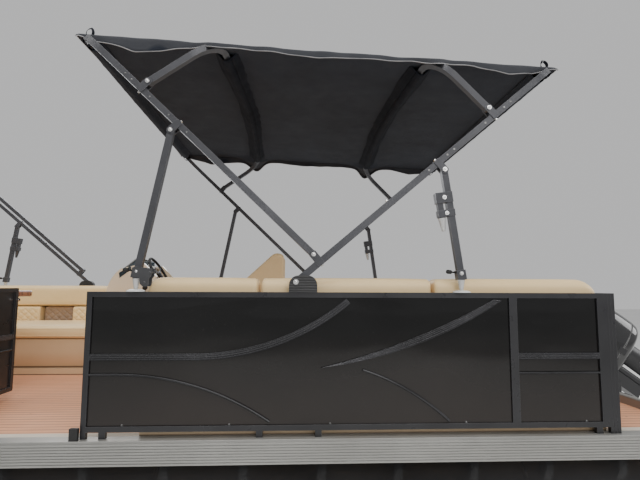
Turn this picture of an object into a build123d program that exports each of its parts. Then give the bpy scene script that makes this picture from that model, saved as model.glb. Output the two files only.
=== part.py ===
from build123d import *
import os
from math import atan, atan2, cos, degrees, hypot, pi, radians, sin

os.makedirs("parts", exist_ok=True)

# Pontoon boat, millimetres. +X points to the bow, +Y to port, +Z up, and the keels stand on z = 0.
# A station is a distance forward of the deck's aft end, and fx() turns it into x.
deck_length = 6700
beam = 2590
stern_to_origin = 2701


def fx(station):
    return station - stern_to_origin


# Floats
tube_radius = 317.5
tube_keel_height = 12
tube_keel_width = 34
tube_inset = 405
tube_aft_station = 120
tube_nose_station = 5560
riser_height = 45
riser_width = 110
nose_sides = 20
nose_sections = [  # distance past the straight tube, share of its radius; the top line stays level
    (0, 1.0), (340, 0.964), (640, 0.825), (890, 0.586), (1040, 0.346), (1105, 0.142)]

# Deck
channel_height = 64
channel_flange = 42
channel_wall = 5
channel_pitch = 406
channel_first_station = 260
channel_count = 16
channel_end_gap = 0.5
deck_thickness = 19
mat_thickness = 4
mat_gap = 1
rail_rib_depth = 5
rail_web = 9
rail_height = 112
rail_rib_pitch = 12.5
rail_rib_height = 7.5
rail_rib_count = 8
rail_rib_margin = 3
lip_width = 74
lip_setback = 1.2
end_rail_thickness = 12
end_rail_corner = 10
stern_trim_height = 58
stern_trim_width = 34
stern_trim_round = 12

# Fences: heights here and below are above the deck mat.
fence_inset = 30
fence_tube = 25
fence_height = 670
fence_foot = 30
foot_width = 30
corner_post = 50
mid_post = 38
fence_aft_station = 455
fence_bow_station = 6255
gate_width = 820
port_gate_lift = 14
port_gate_station = 3003
forward_mid_station = 5160
short_bay_end = 947
panel_recess = 10
panel_thickness = 3
bow_gate_half = 350
stern_gate_half = 320
aft_feet = [560, 1915, 2190, 2905]
forward_feet = [3900, 4500, 5180, 5900]
filler_foot = 3400

# Accents: a wide bar and a thin rod, and the curves they take along a long bay.
bar_width = 32
rod_width = 12
bar_height = 367
rod_height = 287
wide_sweep = [(484, 0), (879, 72), (1250, 300)]  # distance from the bay's gate end, rise over the bar
thin_sweep = [(128, 0), (512, -62), (880, -250)]  # distance from the bay's gate end, rise over the rod
blade_top = [(1074, 315), (1520, 418), (1998, 660)]  # distance from the bay's gate end, height
blade_low = [(1958, 660), (1500, 444), (1074, 315)]
aft_rod = [(1273, 304), (1478, 216), (1712, 40)]

# Gates
gate_clearance = 8
leaf_bottom = 34
leaf_top = 668
hinge_radius = 8
hinge_stand = 9.5
hinge_knuckle = 60
hinge_heights = [140, 560]
hinge_plate = 6
hinge_reach = 28
hinge_from_edge = 2
running_gap = 0.4
stop_length = 38
stop_width = 20
stop_height = 54
stop_gap = 5

# Aft sun top
bow_tube = 32
eye_radius = 17
bow_corner_radius = 170
bow_crown = 70
crown_radius = 8000
pin_radius = 5
pin_clearance = 0.06
pin_head = 3
cheek = 5
cheek_radius = 18
cheek_chamfer = 9
cheek_room_radius = 30
eye_side_gap = 0.6
hinge_offset = 47
main_pivot = (2026, 719)
main_angle = 139.7
main_length = 1830
second_hinge_along = 150
second_angle = 43.6
second_length = 1690
short_hinge_along = 1310
short_bow_gap = 6
short_angle = 45.2
front_short_hinge_along = 1177
front_short_angle = 144.8
strut_hinge_along = 923
main_strut_angle = 262.1
main_strut_length = 521
second_strut_angle = 281.0
second_strut_length = 702
clevis_length = 48
clevis_width = 44
clevis_shift = 8
cone_reach = 30
cone_tip_radius = 9
cone_top_radius = 20
cone_drop = 20
spare_leg_along = 139
spare_leg_offset = 48
spare_leg_length = 100
spare_leg_inset = 4
spare_tip_radius = 19
spare_tip_length = 65
spare_tip_taper = 9
clamps = [(139, 52), (218, 34)]  # distance down the strut, clamp length
clamp_width = 84
dome_radius = 41
dome_height = 11
dome_taper = 50
bracket_length = 135
bracket_height = 80
bracket_thickness = 44
bracket_round = 46
bracket_ahead = 33
canopy_half_width = 1145
canopy_thickness = 5
canopy_overhang = 22
canopy_rest = 0.6

# Front sun top, folded in its boot
front_pivot_station = 4039
folded_length = 1630
boot_radius = 66
boot_sides = 12
boot_inset = 24
boot_start = 1430

# Seating
lounge_depth = 700
bow_lounge_depth = 835
lounge_wall_gap = 22
plinth_height = 50
plinth_groove = 28
groove_height = 12
base_bulge = (125, 6, 200)  # height and set-back of the curve's middle, height where the front turns straight
base_top = 276
seat_thickness = 107
seat_overhang = 18
soft_gap = 0.3
cushion_joint = 2
aft_back_top = 740
bow_back_top = 702
back_thickness = 150
port_spans = [(500, 1345), (1345, 2202), (2202, 2751)]
starboard_spans = [(500, 1150), (1150, 1800)]
port_bow_spans = [(3890, 4640), (4640, 5390), (5390, 6140)]
starboard_bow_spans = [(3660, 4487), (4487, 5313), (5313, 6140)]

# Helm
console_aft_station = 3221
console_forward_station = 3640
console_inner = 610
console_toe = 60
console_belly = 620
console_brow = 780
console_crest = (112, 895)  # forward of the aft end, height
console_hump = (115, 848)  # set-back from the forward face, height
console_round = (40, 765)
console_ear = 40
dash_foot = (110, 600)  # forward of the console's aft end, height
dash_head = (160, 1000)
screen_thickness = 6
screen_inset = 40
screen_foot = (130, 845)  # set-back from the console's forward face, height
screen_head = (235, 938)
wheel_radius = 175
wheel_rim = 13
wheel_rim_sides = 8
wheel_hub_radius = 36
wheel_hub_thickness = 30
spoke_width = 26
spoke_thickness = 8
wheel_angle = 150
wheel_reach = 90
wheel_socket = (133, 755)  # distance forward of the console's aft end, height
column_radius = 34
column_length = 90
chair_station = 2310
chair_wall_gap = 10
chair_width = 500
chair_front = 245
chair_rear = 170
chair_seat_height = 300
chair_seat_thickness = 130
chair_base_width = 330
chair_base_thickness = 40
chair_back = [(-170, 340), (-40, 340), (-90, 960), (-120, 1005), (-200, 990)]  # forward of the swivel, height
chair_wing_thickness = 75
chair_wing = [(-175, 470), (225, 470), (225, 690), (185, 740), (-95, 1000), (-180, 985)]
pedestal_radius = 38
pedestal_flange_radius = 150
pedestal_flange = 14

# Table
table_station = 4360
table_y = 60
table_length = 760
table_width = 460
table_corner = 90
table_thickness = 44
table_leg_height = 618
table_leg_radius = 30
table_foot_radius = 95
table_foot = 12

# Motor pod and outboard motor. Along the leg, f runs forward and h upward from the tilt pin.
transom_station = -290
transom_top = 742
transom_thickness = 45
pod_width = 620
pod_forward_station = 1250
pod_keel = (900, 330)  # station, z
pod_transom_foot = 250
pod_rail_gap = 1
clamp_spacing = 190
clamp_plate = 28
clamp_foot = 420
clamp_outline = [(70, -30), (70, 34), (-20, 58), (-62, 58), (-62, -42)]  # from the transom's top outer edge
tilt_pin_place = (-36, 28)
tilt_pin_radius = 14
tilt_tube_radius = 26
tilt_angle = 55
steer_back = 130
swivel_radius = 34
swivel_top = 50
swivel_bottom = -240
swivel_block = (120, 82, 240)  # width, depth, height
swivel_block_place = (-62, -210)
upper_yoke = (60, 18)  # radius, thickness
lower_yoke = (52, 20)
leg_outline = [(0, 1), (1, 0.45), (1, -0.6), (0, -1)]  # shares of the half width and half depth, one side
cowl_outline = [(0.5, 1), (0.95, 0.6), (1, -0.55), (0.6, -1)]
leg_sections = [  # forward centre, height, half width, half depth
    (-262, 50.4, 62, 88), (-262, -260, 44, 88), (-255, -550, 24, 80)]
plate_height = -548
plate_size = (330, 200, 10)
plate_forward = -250
shaft_height = -760
fin_sections = [(-215, -550, 20, 78), (-205, -760, 16, 88)]
skeg_sections = [(-200, -760, 9, 85), (-245, -950, 5, 42)]
case_sections = [(-60, 22), (-130, 52), (-310, 50)]  # forward place, radius
cowl_sections = [
    (-215, 68.4, 165, 235), (-210, 130, 190, 262), (-215, 330, 184, 255), (-225, 440, 160, 222),
    (-235, 490, 110, 150)]
prop_gap = 0.6
prop_hub = (46, 95)  # radius, length
blade_count = 3
blade_pitch = 38
# blade points: distance outward from the shaft, distance along the chord
blade_outline = [(30, -38), (100, -70), (158, -60), (178, 0), (160, 48), (105, 64), (30, 36)]
blade_thickness = 8

# Levels and planes that several pieces share
tube_spacing = beam - 2 * tube_inset
tube_axis_z = tube_keel_height + tube_radius
channel_z = tube_axis_z + tube_radius + riser_height
board_z = channel_z + channel_height
board_top = board_z + deck_thickness
deck_z = board_top + mat_thickness
board_half_width = beam / 2 - rail_rib_depth - rail_web
mat_half_width = beam / 2 - lip_setback - lip_width - mat_gap
fence_y = beam / 2 - fence_inset
fence_inner_y = fence_y - fence_tube
fence_top = deck_z + fence_height
bimini_y = fence_y - fence_tube / 2
lounge_y = fence_inner_y - lounge_wall_gap


def on_side(point):
    # A (station, height above deck) pair as x and z.
    return (fx(point[0]), deck_z + point[1])


def along(start, angle, distance, offset=0.0):
    # A point some way along a member, offset to the left of its direction.
    a = radians(angle)
    return (start[0] + distance * cos(a) - offset * sin(a), start[1] + distance * sin(a) + offset * cos(a))


def side_plane(y):
    # A plane of constant y, sketched in x and z.
    return Plane(origin=(0, y, 0), x_dir=(1, 0, 0), z_dir=(0, -1, 0))


# Floats: a long cylinder, a raked nose, a riser on top and a keel strip below.
def float_tube(y):
    with BuildSketch(Plane.YZ.offset(fx(tube_aft_station))) as end:
        with Locations((y, tube_axis_z)):
            Circle(tube_radius)
    extrude(end.sketch, amount=tube_nose_station - tube_aft_station)
    rings = []
    for distance, share in nose_sections:
        radius = share * tube_radius
        with BuildSketch(Plane.YZ.offset(fx(tube_nose_station + distance))) as ring:
            with Locations((y, tube_axis_z + tube_radius - radius)):
                RegularPolygon(radius, nose_sides)
        rings.append(ring.sketch.face())
    loft(rings, ruled=True)
    riser_length = channel_first_station + (channel_count - 1) * channel_pitch - tube_aft_station
    with Locations((fx(tube_aft_station), y, channel_z)):
        Box(riser_length, riser_width, riser_height + tube_radius / 2,
            align=(Align.MIN, Align.CENTER, Align.MAX))
    with Locations((fx(tube_aft_station), y, 0)):
        Box(tube_nose_station - tube_aft_station, tube_keel_width, tube_keel_height + tube_keel_width,
            align=(Align.MIN, Align.CENTER, Align.MIN))


with BuildPart() as port_tube:
    float_tube(tube_spacing / 2)
with BuildPart() as starboard_tube:
    float_tube(-tube_spacing / 2)

# Cross channels carry the deck on the risers.
with BuildPart() as cross_channels:
    channel_half = board_half_width - channel_end_gap
    w = channel_wall
    for i in range(channel_count):
        x0 = fx(channel_first_station + i * channel_pitch) - channel_flange / 2
        x1 = x0 + channel_flange
        with BuildSketch(Plane.XZ.offset(-channel_half)):
            with BuildLine():
                Polyline((x1, channel_z), (x0, channel_z), (x0, board_z), (x1, board_z), (x1, board_z - w),
                         (x0 + w, board_z - w), (x0 + w, channel_z + w), (x1, channel_z + w), close=True)
            make_face()
        extrude(amount=2 * channel_half)

with BuildPart() as deck_board:
    with Locations((fx(0), 0, board_z)):
        Box(deck_length, 2 * board_half_width, deck_thickness, align=(Align.MIN, Align.CENTER, Align.MIN))

# Ribbed edge extrusions down both sides, each with a lip over the deck as thick as the mat.
with BuildPart() as side_rails:
    with BuildSketch(Plane.YZ.offset(fx(0))):
        with Locations((beam / 2 - rail_rib_depth, deck_z)):
            Rectangle(rail_web, rail_height, align=(Align.MAX, Align.MAX))
        with Locations((beam / 2 - lip_setback, deck_z)):
            Rectangle(lip_width, mat_thickness, align=(Align.MAX, Align.MAX))
        lowest_rib = deck_z - rail_height + rail_rib_height / 2 + rail_rib_margin
        for i in range(rail_rib_count):
            with Locations((beam / 2, lowest_rib + i * rail_rib_pitch)):
                Rectangle(2 * rail_rib_depth, rail_rib_height, align=(Align.MAX, Align.CENTER))
    extrude(amount=deck_length)
    mirror(about=Plane.XZ)

with BuildPart() as end_rails:
    for x in (fx(0) - end_rail_thickness, fx(deck_length)):
        with Locations((x, 0, deck_z)):
            Box(end_rail_thickness, beam, rail_height, align=(Align.MIN, Align.CENTER, Align.MAX))
    for end in (0, -1):
        fillet(end_rails.edges().filter_by(Axis.Z).group_by(Axis.X)[end], end_rail_corner)

with BuildPart() as deck_mat:
    with Locations((fx(stern_trim_width), 0, board_top)):
        Box(deck_length - 2 * stern_trim_width, 2 * mat_half_width, mat_thickness,
            align=(Align.MIN, Align.CENTER, Align.MIN))

with BuildPart() as stern_trim:
    with Locations((fx(0), 0, board_top)):
        Box(stern_trim_width, 2 * mat_half_width, stern_trim_height,
            align=(Align.MIN, Align.CENTER, Align.MIN))
    fillet(stern_trim.edges().filter_by(Axis.Y).group_by(Axis.Z)[-1], stern_trim_round)

# Fences. On each plane u runs along the fence and v is the height above the deck.
bay_low = fence_foot + fence_tube
bay_high = fence_height - fence_tube
bay_middle = (bay_low + bay_high) / 2
port_plane = Plane(origin=(-stern_to_origin, fence_y, deck_z), x_dir=(-1, 0, 0), z_dir=(0, 1, 0))
starboard_plane = Plane(origin=(-stern_to_origin, -fence_y, deck_z), x_dir=(1, 0, 0), z_dir=(0, -1, 0))
bow_plane = Plane(origin=(fx(fence_bow_station), 0, deck_z), x_dir=(0, 1, 0), z_dir=(1, 0, 0))
stern_plane = Plane(origin=(fx(fence_aft_station), 0, deck_z), x_dir=(0, -1, 0), z_dir=(-1, 0, 0))

port_gate_end = port_gate_station + gate_width
short_bay = (fence_aft_station + corner_post + mid_post, short_bay_end)
long_bay = (short_bay_end + mid_post, port_gate_station - fence_tube)
filler_bay = (port_gate_station, port_gate_end - fence_tube)
forward_bays = [(port_gate_end + fence_tube, forward_mid_station),
                (forward_mid_station + mid_post, fence_bow_station - fence_tube)]


def mirrored(spans):
    # The same spans on a plane whose u runs aft.
    return [(-b, -a) for a, b in spans]


def fence_frame(plane, start, end, bays, posts):
    # A welded frame: the outer rectangle less its bays, on posts and feet given as (middle, width).
    with BuildSketch(plane) as face:
        with Locations(((start + end) / 2, (fence_foot + fence_height) / 2)):
            Rectangle(end - start, fence_height - fence_foot)
        for a, b in bays:
            with Locations(((a + b) / 2, bay_middle)):
                Rectangle(b - a, bay_high - bay_low, mode=Mode.SUBTRACT)
        for middle, width in posts:
            with Locations((middle, fence_foot / 2)):
                Rectangle(width, fence_foot)
    extrude(face.sketch, amount=-fence_tube)


def panel_fill(plane, bays):
    with BuildSketch(plane.offset(-panel_recess)) as face:
        for a, b in bays:
            with Locations(((a + b) / 2, bay_middle)):
                Rectangle(b - a, bay_high - bay_low)
    extrude(face.sketch, amount=-panel_thickness)


def straight_bars(plane, bays):
    # A wide bar and a thin rod, level across each short bay.
    with BuildSketch(plane) as face:
        for a, b in bays:
            for height, width in ((bar_height, bar_width), (rod_height, rod_width)):
                with Locations(((a + b) / 2, height)):
                    Rectangle(b - a, width)
    extrude(face.sketch, amount=-panel_recess)


def swept_bars(plane, bay, gate_end, sense):
    # The curved accents of a long bay, measured from its gate end in the direction of sense.
    def at(distance, height):
        return (gate_end + sense * distance, height)

    def swept(points, base):
        curve = [at(distance, base + rise) for distance, rise in points]
        Line(at(0, base), curve[0])
        ThreePointArc(*curve)

    with BuildSketch(plane) as face:
        with BuildLine():
            swept(wide_sweep, bar_height)
        trace(line_width=bar_width)
        with BuildLine():
            swept(thin_sweep, rod_height)
        trace(line_width=rod_width)
        with BuildLine():
            ThreePointArc(*[at(*point) for point in blade_top])
            Line(at(*blade_top[-1]), at(*blade_low[0]))
            ThreePointArc(*[at(*point) for point in blade_low])
        make_face()
        with BuildLine():
            ThreePointArc(*[at(*point) for point in aft_rod])
        trace(line_width=rod_width)
        with Locations(((bay[0] + bay[1]) / 2, bay_middle)):
            Rectangle(bay[1] - bay[0], bay_high - bay_low, mode=Mode.INTERSECT)
    extrude(face.sketch, amount=-panel_recess)


def feet(stations):
    return [(station, foot_width) for station in stations]


aft_corner = (fence_aft_station + corner_post / 2, corner_post)
bow_corner = (fence_bow_station - corner_post / 2, corner_post)
with BuildPart() as port_aft_frame:
    posts = [aft_corner, (port_gate_station - fence_tube / 2, fence_tube)] + feet(aft_feet)
    fence_frame(port_plane, -port_gate_station, -fence_aft_station, mirrored([short_bay, long_bay]),
                [(-middle, width) for middle, width in posts])
with BuildPart() as port_forward_frame:
    posts = [bow_corner, (port_gate_end + fence_tube / 2, fence_tube)] + feet(forward_feet)
    fence_frame(port_plane, -fence_bow_station, -port_gate_end, mirrored(forward_bays),
                [(-middle, width) for middle, width in posts])
with BuildPart() as starboard_frame:
    posts = [aft_corner, bow_corner] + feet(aft_feet + [filler_foot] + forward_feet)
    fence_frame(starboard_plane, fence_aft_station, fence_bow_station,
                [short_bay, long_bay, filler_bay] + forward_bays, posts)


# End fences run between the side fences, either side of their gates.
def end_bays(gate_half):
    outer = fence_inner_y - fence_tube
    inner = gate_half + fence_tube
    return [(-outer, -inner), (inner, outer)]


with BuildPart() as end_frames:
    for plane, gate_half in ((bow_plane, bow_gate_half), (stern_plane, stern_gate_half)):
        for sign, (a, b) in zip((-1, 1), end_bays(gate_half)):
            gate_post = (sign * (gate_half + fence_tube / 2), fence_tube)
            fence_frame(plane, a - fence_tube, b + fence_tube, [(a, b)],
                        [gate_post, ((a + b) / 2, foot_width)])

with BuildPart() as fence_panels:
    panel_fill(port_plane, mirrored([short_bay, long_bay] + forward_bays))
    panel_fill(starboard_plane, [short_bay, long_bay, filler_bay] + forward_bays)
    panel_fill(bow_plane, end_bays(bow_gate_half))
    panel_fill(stern_plane, end_bays(stern_gate_half))

with BuildPart() as accent_bars:
    straight_bars(port_plane, mirrored([short_bay, forward_bays[1]]))
    straight_bars(starboard_plane, [short_bay, filler_bay, forward_bays[1]])
    straight_bars(bow_plane, end_bays(bow_gate_half))
    straight_bars(stern_plane, end_bays(stern_gate_half))
    swept_bars(port_plane, mirrored([long_bay])[0], -long_bay[1], 1)
    swept_bars(starboard_plane, long_bay, long_bay[1], -1)


# Gates: a framed panel on two hinges, with the same two bars across it.
def gate_leaf(plane, start, end):
    with BuildSketch(plane) as outline:
        with Locations(((start + end) / 2, (leaf_bottom + leaf_top) / 2)):
            Rectangle(end - start, leaf_top - leaf_bottom)
    extrude(outline.sketch, amount=-fence_tube)
    with BuildSketch(plane) as bay:
        with Locations(((start + end) / 2, (leaf_bottom + leaf_top) / 2)):
            Rectangle(end - start - 2 * fence_tube, leaf_top - leaf_bottom - 2 * fence_tube)
    extrude(bay.sketch, amount=-panel_recess, mode=Mode.SUBTRACT)


def leaf_barrels(hinge, out):
    # Barrels on straps that are let into the leaf; out is the side of the hinge line the leaf is on.
    near, far = sorted((out * (hinge_stand - hinge_plate), out * (hinge_stand + 1)))
    for height in hinge_heights:
        with Locations((hinge[0], hinge[1], deck_z + height)):
            Cylinder(hinge_radius, hinge_knuckle)
        with Locations((hinge[0] + near, hinge[1], deck_z + height)):
            Box(far - near, hinge_reach, hinge_knuckle, align=(Align.MIN, Align.MAX, Align.CENTER))


def post_knuckles(hinge, plate_low, plate_high):
    # A knuckle above and below each barrel, each on a plate against the post.
    for height in hinge_heights:
        for sign in (-1, 1):
            z = deck_z + height + sign * (hinge_knuckle * 3 / 4 + running_gap)
            with Locations((hinge[0], hinge[1], z)):
                Cylinder(hinge_radius, hinge_knuckle / 2)
            with Locations((plate_low[0], plate_low[1], z)):
                Box(plate_high[0] - plate_low[0], plate_high[1] - plate_low[1], hinge_knuckle / 2,
                    align=(Align.MIN, Align.MIN, Align.CENTER))


edge_to_hinge = gate_clearance - hinge_from_edge

# Port gate, swung in against the forward post.
port_hinge = (fx(port_gate_end - edge_to_hinge), fence_inner_y - hinge_stand)
port_leaf_plane = Plane(origin=(port_hinge[0] - hinge_stand - fence_tube, port_hinge[1],
                               deck_z + port_gate_lift),
                        x_dir=(0, -1, 0), z_dir=(-1, 0, 0))
port_leaf_span = (hinge_from_edge, hinge_from_edge + gate_width - 2 * gate_clearance)
with BuildPart() as port_gate:
    gate_leaf(port_leaf_plane, *port_leaf_span)
    leaf_barrels(port_hinge, -1)
with BuildPart() as port_gate_bars:
    straight_bars(port_leaf_plane, [(port_leaf_span[0] + fence_tube, port_leaf_span[1] - fence_tube)])

# Bow gate and stern gate, shut.
bow_hinge = (fx(fence_bow_station) - fence_tube - hinge_stand, bow_gate_half - edge_to_hinge)
stern_hinge = (fx(fence_aft_station) + fence_tube + hinge_stand, stern_gate_half - edge_to_hinge)
bow_leaf_half = bow_gate_half - gate_clearance
stern_leaf_half = stern_gate_half - gate_clearance
with BuildPart() as bow_gate:
    gate_leaf(bow_plane, -bow_leaf_half, bow_leaf_half)
    leaf_barrels(bow_hinge, 1)
with BuildPart() as bow_gate_bars:
    straight_bars(bow_plane, [(fence_tube - bow_leaf_half, bow_leaf_half - fence_tube)])
with BuildPart() as stern_gate:
    gate_leaf(stern_plane, -stern_leaf_half, stern_leaf_half)
    leaf_barrels(stern_hinge, -1)
with BuildPart() as stern_gate_bars:
    straight_bars(stern_plane, [(fence_tube - stern_leaf_half, stern_leaf_half - fence_tube)])

with BuildPart() as gate_knuckles:
    inner = hinge_stand - hinge_plate
    post_knuckles(port_hinge, (port_hinge[0], port_hinge[1] + inner),
                  (port_hinge[0] + hinge_reach, port_hinge[1] + hinge_stand))
    post_knuckles(bow_hinge, (bow_hinge[0] + inner, bow_hinge[1]),
                  (bow_hinge[0] + hinge_stand, bow_hinge[1] + hinge_reach))
    post_knuckles(stern_hinge, (stern_hinge[0] - hinge_stand, stern_hinge[1]),
                  (stern_hinge[0] - inner, stern_hinge[1] + hinge_reach))

# A rubber block on the deck edge keeps the port gate from swinging outward.
with BuildPart() as gate_stop:
    with Locations((fx(port_gate_station), fence_y + stop_gap, deck_z)):
        Box(stop_length, stop_width, stop_height, align=(Align.MIN, Align.MIN, Align.MIN))

# Aft sun top. Every member lies in the two planes y = +/- bimini_y, given in x and z.
main_start = on_side(main_pivot)
second_hinge = along(main_start, main_angle, second_hinge_along, -hinge_offset)
short_hinge = along(main_start, main_angle, short_hinge_along, -hinge_offset)
main_strut_hinge = along(main_start, main_angle, strut_hinge_along, hinge_offset)
front_short_hinge = along(second_hinge, second_angle, front_short_hinge_along, hinge_offset)
second_strut_hinge = along(second_hinge, second_angle, strut_hinge_along, -hinge_offset)
both_sides = (-bimini_y, bimini_y)


def hoop_plane(start, angle):
    # The plane of a bow: x runs to port and y runs up along its legs.
    up = Vector(cos(radians(angle)), 0, sin(radians(angle)))
    return Plane(origin=(start[0], 0, start[1]), x_dir=(0, 1, 0), z_dir=Vector(0, 1, 0).cross(up))


def hoop_path(half, foot, length):
    FilletPolyline((half, foot), (half, length - bow_crown), (0, length), (-half, length - bow_crown),
                   (-half, foot), radius=[bow_corner_radius, crown_radius, bow_corner_radius])


def bow_hoop(start, angle, length):
    # A U of square tube: up from port, across the top with a slight crown, and down to starboard.
    plane = hoop_plane(start, angle)
    with BuildLine(plane) as path:
        hoop_path(bimini_y, 0, length)
    foot = plane.from_local_coords(Vector(bimini_y, 0, 0))
    with BuildSketch(Plane(origin=foot, x_dir=(0, 1, 0), z_dir=plane.y_dir)) as section:
        Rectangle(bow_tube, bow_tube)
    sweep(section.sketch, path=path.line)


def disc(centre, y, radius, reach, mode=Mode.ADD):
    with BuildSketch(side_plane(y)) as face:
        with Locations(centre):
            Circle(radius)
    extrude(face.sketch, amount=reach, both=True, mode=mode)


def eye_end(hinge):
    # The lower end of a member: rounded, bored for its pin, and thinned so it turns between the cheeks.
    for y in both_sides:
        disc(hinge, y, eye_radius, bow_tube / 2 - eye_side_gap)
        disc(hinge, y, pin_radius + pin_clearance, bow_tube, Mode.SUBTRACT)
        for sign in (-1, 1):
            disc(hinge, y + sign * bow_tube / 2, cheek_room_radius, eye_side_gap, Mode.SUBTRACT)


def jaw(tube_point, hinge):
    # Two cheeks from the tube to the hinge, with the pin across them.
    angle = degrees(atan2(hinge[1] - tube_point[1], hinge[0] - tube_point[0]))
    span = hypot(hinge[0] - tube_point[0], hinge[1] - tube_point[1])
    middle = along(tube_point, angle, span / 2)
    for y in both_sides:
        for sign in (-1, 1):
            with BuildSketch(side_plane(y + sign * (bow_tube + cheek) / 2)) as plate:
                with Locations(Location((middle[0], middle[1], 0), (0, 0, angle))):
                    outline = Rectangle(span + 2 * cheek_radius, 2 * cheek_radius)
                chamfer(outline.vertices(), cheek_chamfer)
            extrude(plate.sketch, amount=cheek / 2, both=True)
        disc(hinge, y, pin_radius, bow_tube / 2 + cheek + pin_head)


def jawed_bow(start, angle, length, jaws):
    bow_hoop(start, angle, length)
    for distance, hinge in jaws:
        jaw(along(start, angle, distance), hinge)


crown_half_turn = atan(bow_crown / bimini_y)
crown_flattening = crown_radius * (1 / cos(crown_half_turn) - 1)


def tube_rise(angle):
    return bow_tube / 2 * (abs(cos(radians(angle))) + abs(sin(radians(angle))))


def crown_top(start, angle, length):
    # The highest point of a bow's crown, in x and z.
    middle = along(start, angle, length - crown_flattening)
    return (middle[0], middle[1] + tube_rise(angle))


aft_top = crown_top(main_start, main_angle, main_length)
forward_top = crown_top(second_hinge, second_angle, second_length)
canopy_slope = (forward_top[1] - aft_top[1]) / (forward_top[0] - aft_top[0])


def reach_canopy(start, angle):
    # The length at which a short bow's crown stands just under the canopy.
    under = aft_top[1] + canopy_rest + (start[0] - aft_top[0]) * canopy_slope - start[1]
    rate = sin(radians(angle)) - canopy_slope * cos(radians(angle))
    return crown_flattening + (under - short_bow_gap - tube_rise(angle)) / rate


main_jaws = [(second_hinge_along, second_hinge), (strut_hinge_along, main_strut_hinge)]
with BuildPart() as main_bow:
    jawed_bow(main_start, main_angle, main_length, main_jaws + [(short_hinge_along, short_hinge)])
with BuildPart() as second_bow:
    jawed_bow(second_hinge, second_angle, second_length,
              [(front_short_hinge_along, front_short_hinge), (strut_hinge_along, second_strut_hinge)])
    eye_end(second_hinge)
with BuildPart() as aft_short_bow:
    bow_hoop(short_hinge, short_angle, reach_canopy(short_hinge, short_angle))
    eye_end(short_hinge)
with BuildPart() as forward_short_bow:
    bow_hoop(front_short_hinge, front_short_angle, reach_canopy(front_short_hinge, front_short_angle))
    eye_end(front_short_hinge)


def strut_foot(hinge, angle, length):
    # Where the strut's ball stands, in x.
    return along(hinge, angle, length + cone_reach)[0]


def strut_pair(hinge, angle, length, spare_leg):
    # A tube from the bow's jaw down to a clevis, and a cone that stands in its dome.
    foot = along(hinge, angle, length)
    down = Vector(cos(radians(angle)), 0, sin(radians(angle)))

    def block(place, size):
        with BuildSketch(side_plane(y)) as face:
            with Locations(Location((place[0], place[1], 0), (0, 0, angle))):
                Rectangle(*size)
        extrude(face.sketch, amount=bow_tube / 2 + cheek, both=True)

    def tube(place, size, amount):
        with BuildSketch(Plane(origin=(place[0], y, place[1]), x_dir=(0, 1, 0), z_dir=down)) as section:
            Rectangle(size, size)
        extrude(section.sketch, amount=amount)

    for y in both_sides:
        tube(hinge, bow_tube, length)
        block(along(hinge, angle, length + clevis_shift), (clevis_length, clevis_width))
        rings = []
        for z, radius in ((fence_top + dome_height + running_gap, cone_tip_radius),
                          (foot[1] - cone_drop, cone_top_radius)):
            with BuildSketch(Plane.XY.offset(z)) as ring:
                with Locations((strut_foot(hinge, angle, length), y)):
                    Circle(radius)
            rings.append(ring.sketch.face())
        loft(rings)
        if spare_leg:
            # The short leg for travelling, clamped beside the strut.
            for distance, clamp_length in clamps:
                block(along(hinge, angle, distance, spare_leg_offset / 2), (clamp_length, clamp_width))
            tube(along(hinge, angle, spare_leg_along, spare_leg_offset), bow_tube - spare_leg_inset,
                 spare_leg_length)
            end = along(hinge, angle, spare_leg_along + spare_leg_length, spare_leg_offset)
            with BuildSketch(Plane(origin=(end[0], y, end[1]), x_dir=(0, 1, 0), z_dir=down)) as tip:
                Circle(spare_tip_radius)
            extrude(tip.sketch, amount=spare_tip_length, taper=spare_tip_taper)
    eye_end(hinge)


with BuildPart() as main_struts:
    strut_pair(main_strut_hinge, main_strut_angle, main_strut_length, True)
with BuildPart() as second_struts:
    strut_pair(second_strut_hinge, second_strut_angle, second_strut_length, False)

# Canopy: a thin arched sheet that rests on the crowns of the main and second bows.
canopy_drop = (bow_crown * canopy_half_width / bimini_y - crown_flattening) * sin(radians(main_angle))
with BuildPart() as canopy:
    half = canopy_half_width
    for x in (aft_top[0] - canopy_overhang, forward_top[0] + canopy_overhang):
        low = aft_top[1] + canopy_rest + (x - aft_top[0]) * canopy_slope
        high = low + canopy_thickness
        with BuildSketch(Plane.YZ.offset(x)):
            with BuildLine():
                ThreePointArc((-half, low - canopy_drop), (0, low), (half, low - canopy_drop))
                Line((half, low - canopy_drop), (half, high - canopy_drop))
                ThreePointArc((half, high - canopy_drop), (0, high), (-half, high - canopy_drop))
                Line((-half, high - canopy_drop), (-half, low - canopy_drop))
            make_face()
    loft(ruled=True)

# Front sun top: the same bows mirrored, with the second folded back along the main bow.
front_mirror = Plane.YZ.offset((main_start[0] + fx(front_pivot_station)) / 2)
with BuildPart() as unmirrored_main:
    jawed_bow(main_start, main_angle, main_length, main_jaws)
with BuildPart() as unmirrored_second:
    bow_hoop(second_hinge, main_angle, folded_length)
    eye_end(second_hinge)
with BuildPart() as front_main_bow:
    add(mirror(unmirrored_main.part, about=front_mirror, mode=Mode.PRIVATE))
with BuildPart() as front_second_bow:
    add(mirror(unmirrored_second.part, about=front_mirror, mode=Mode.PRIVATE))
with BuildPart() as front_struts:
    add(mirror(main_struts.part, about=front_mirror, mode=Mode.PRIVATE))

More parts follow.
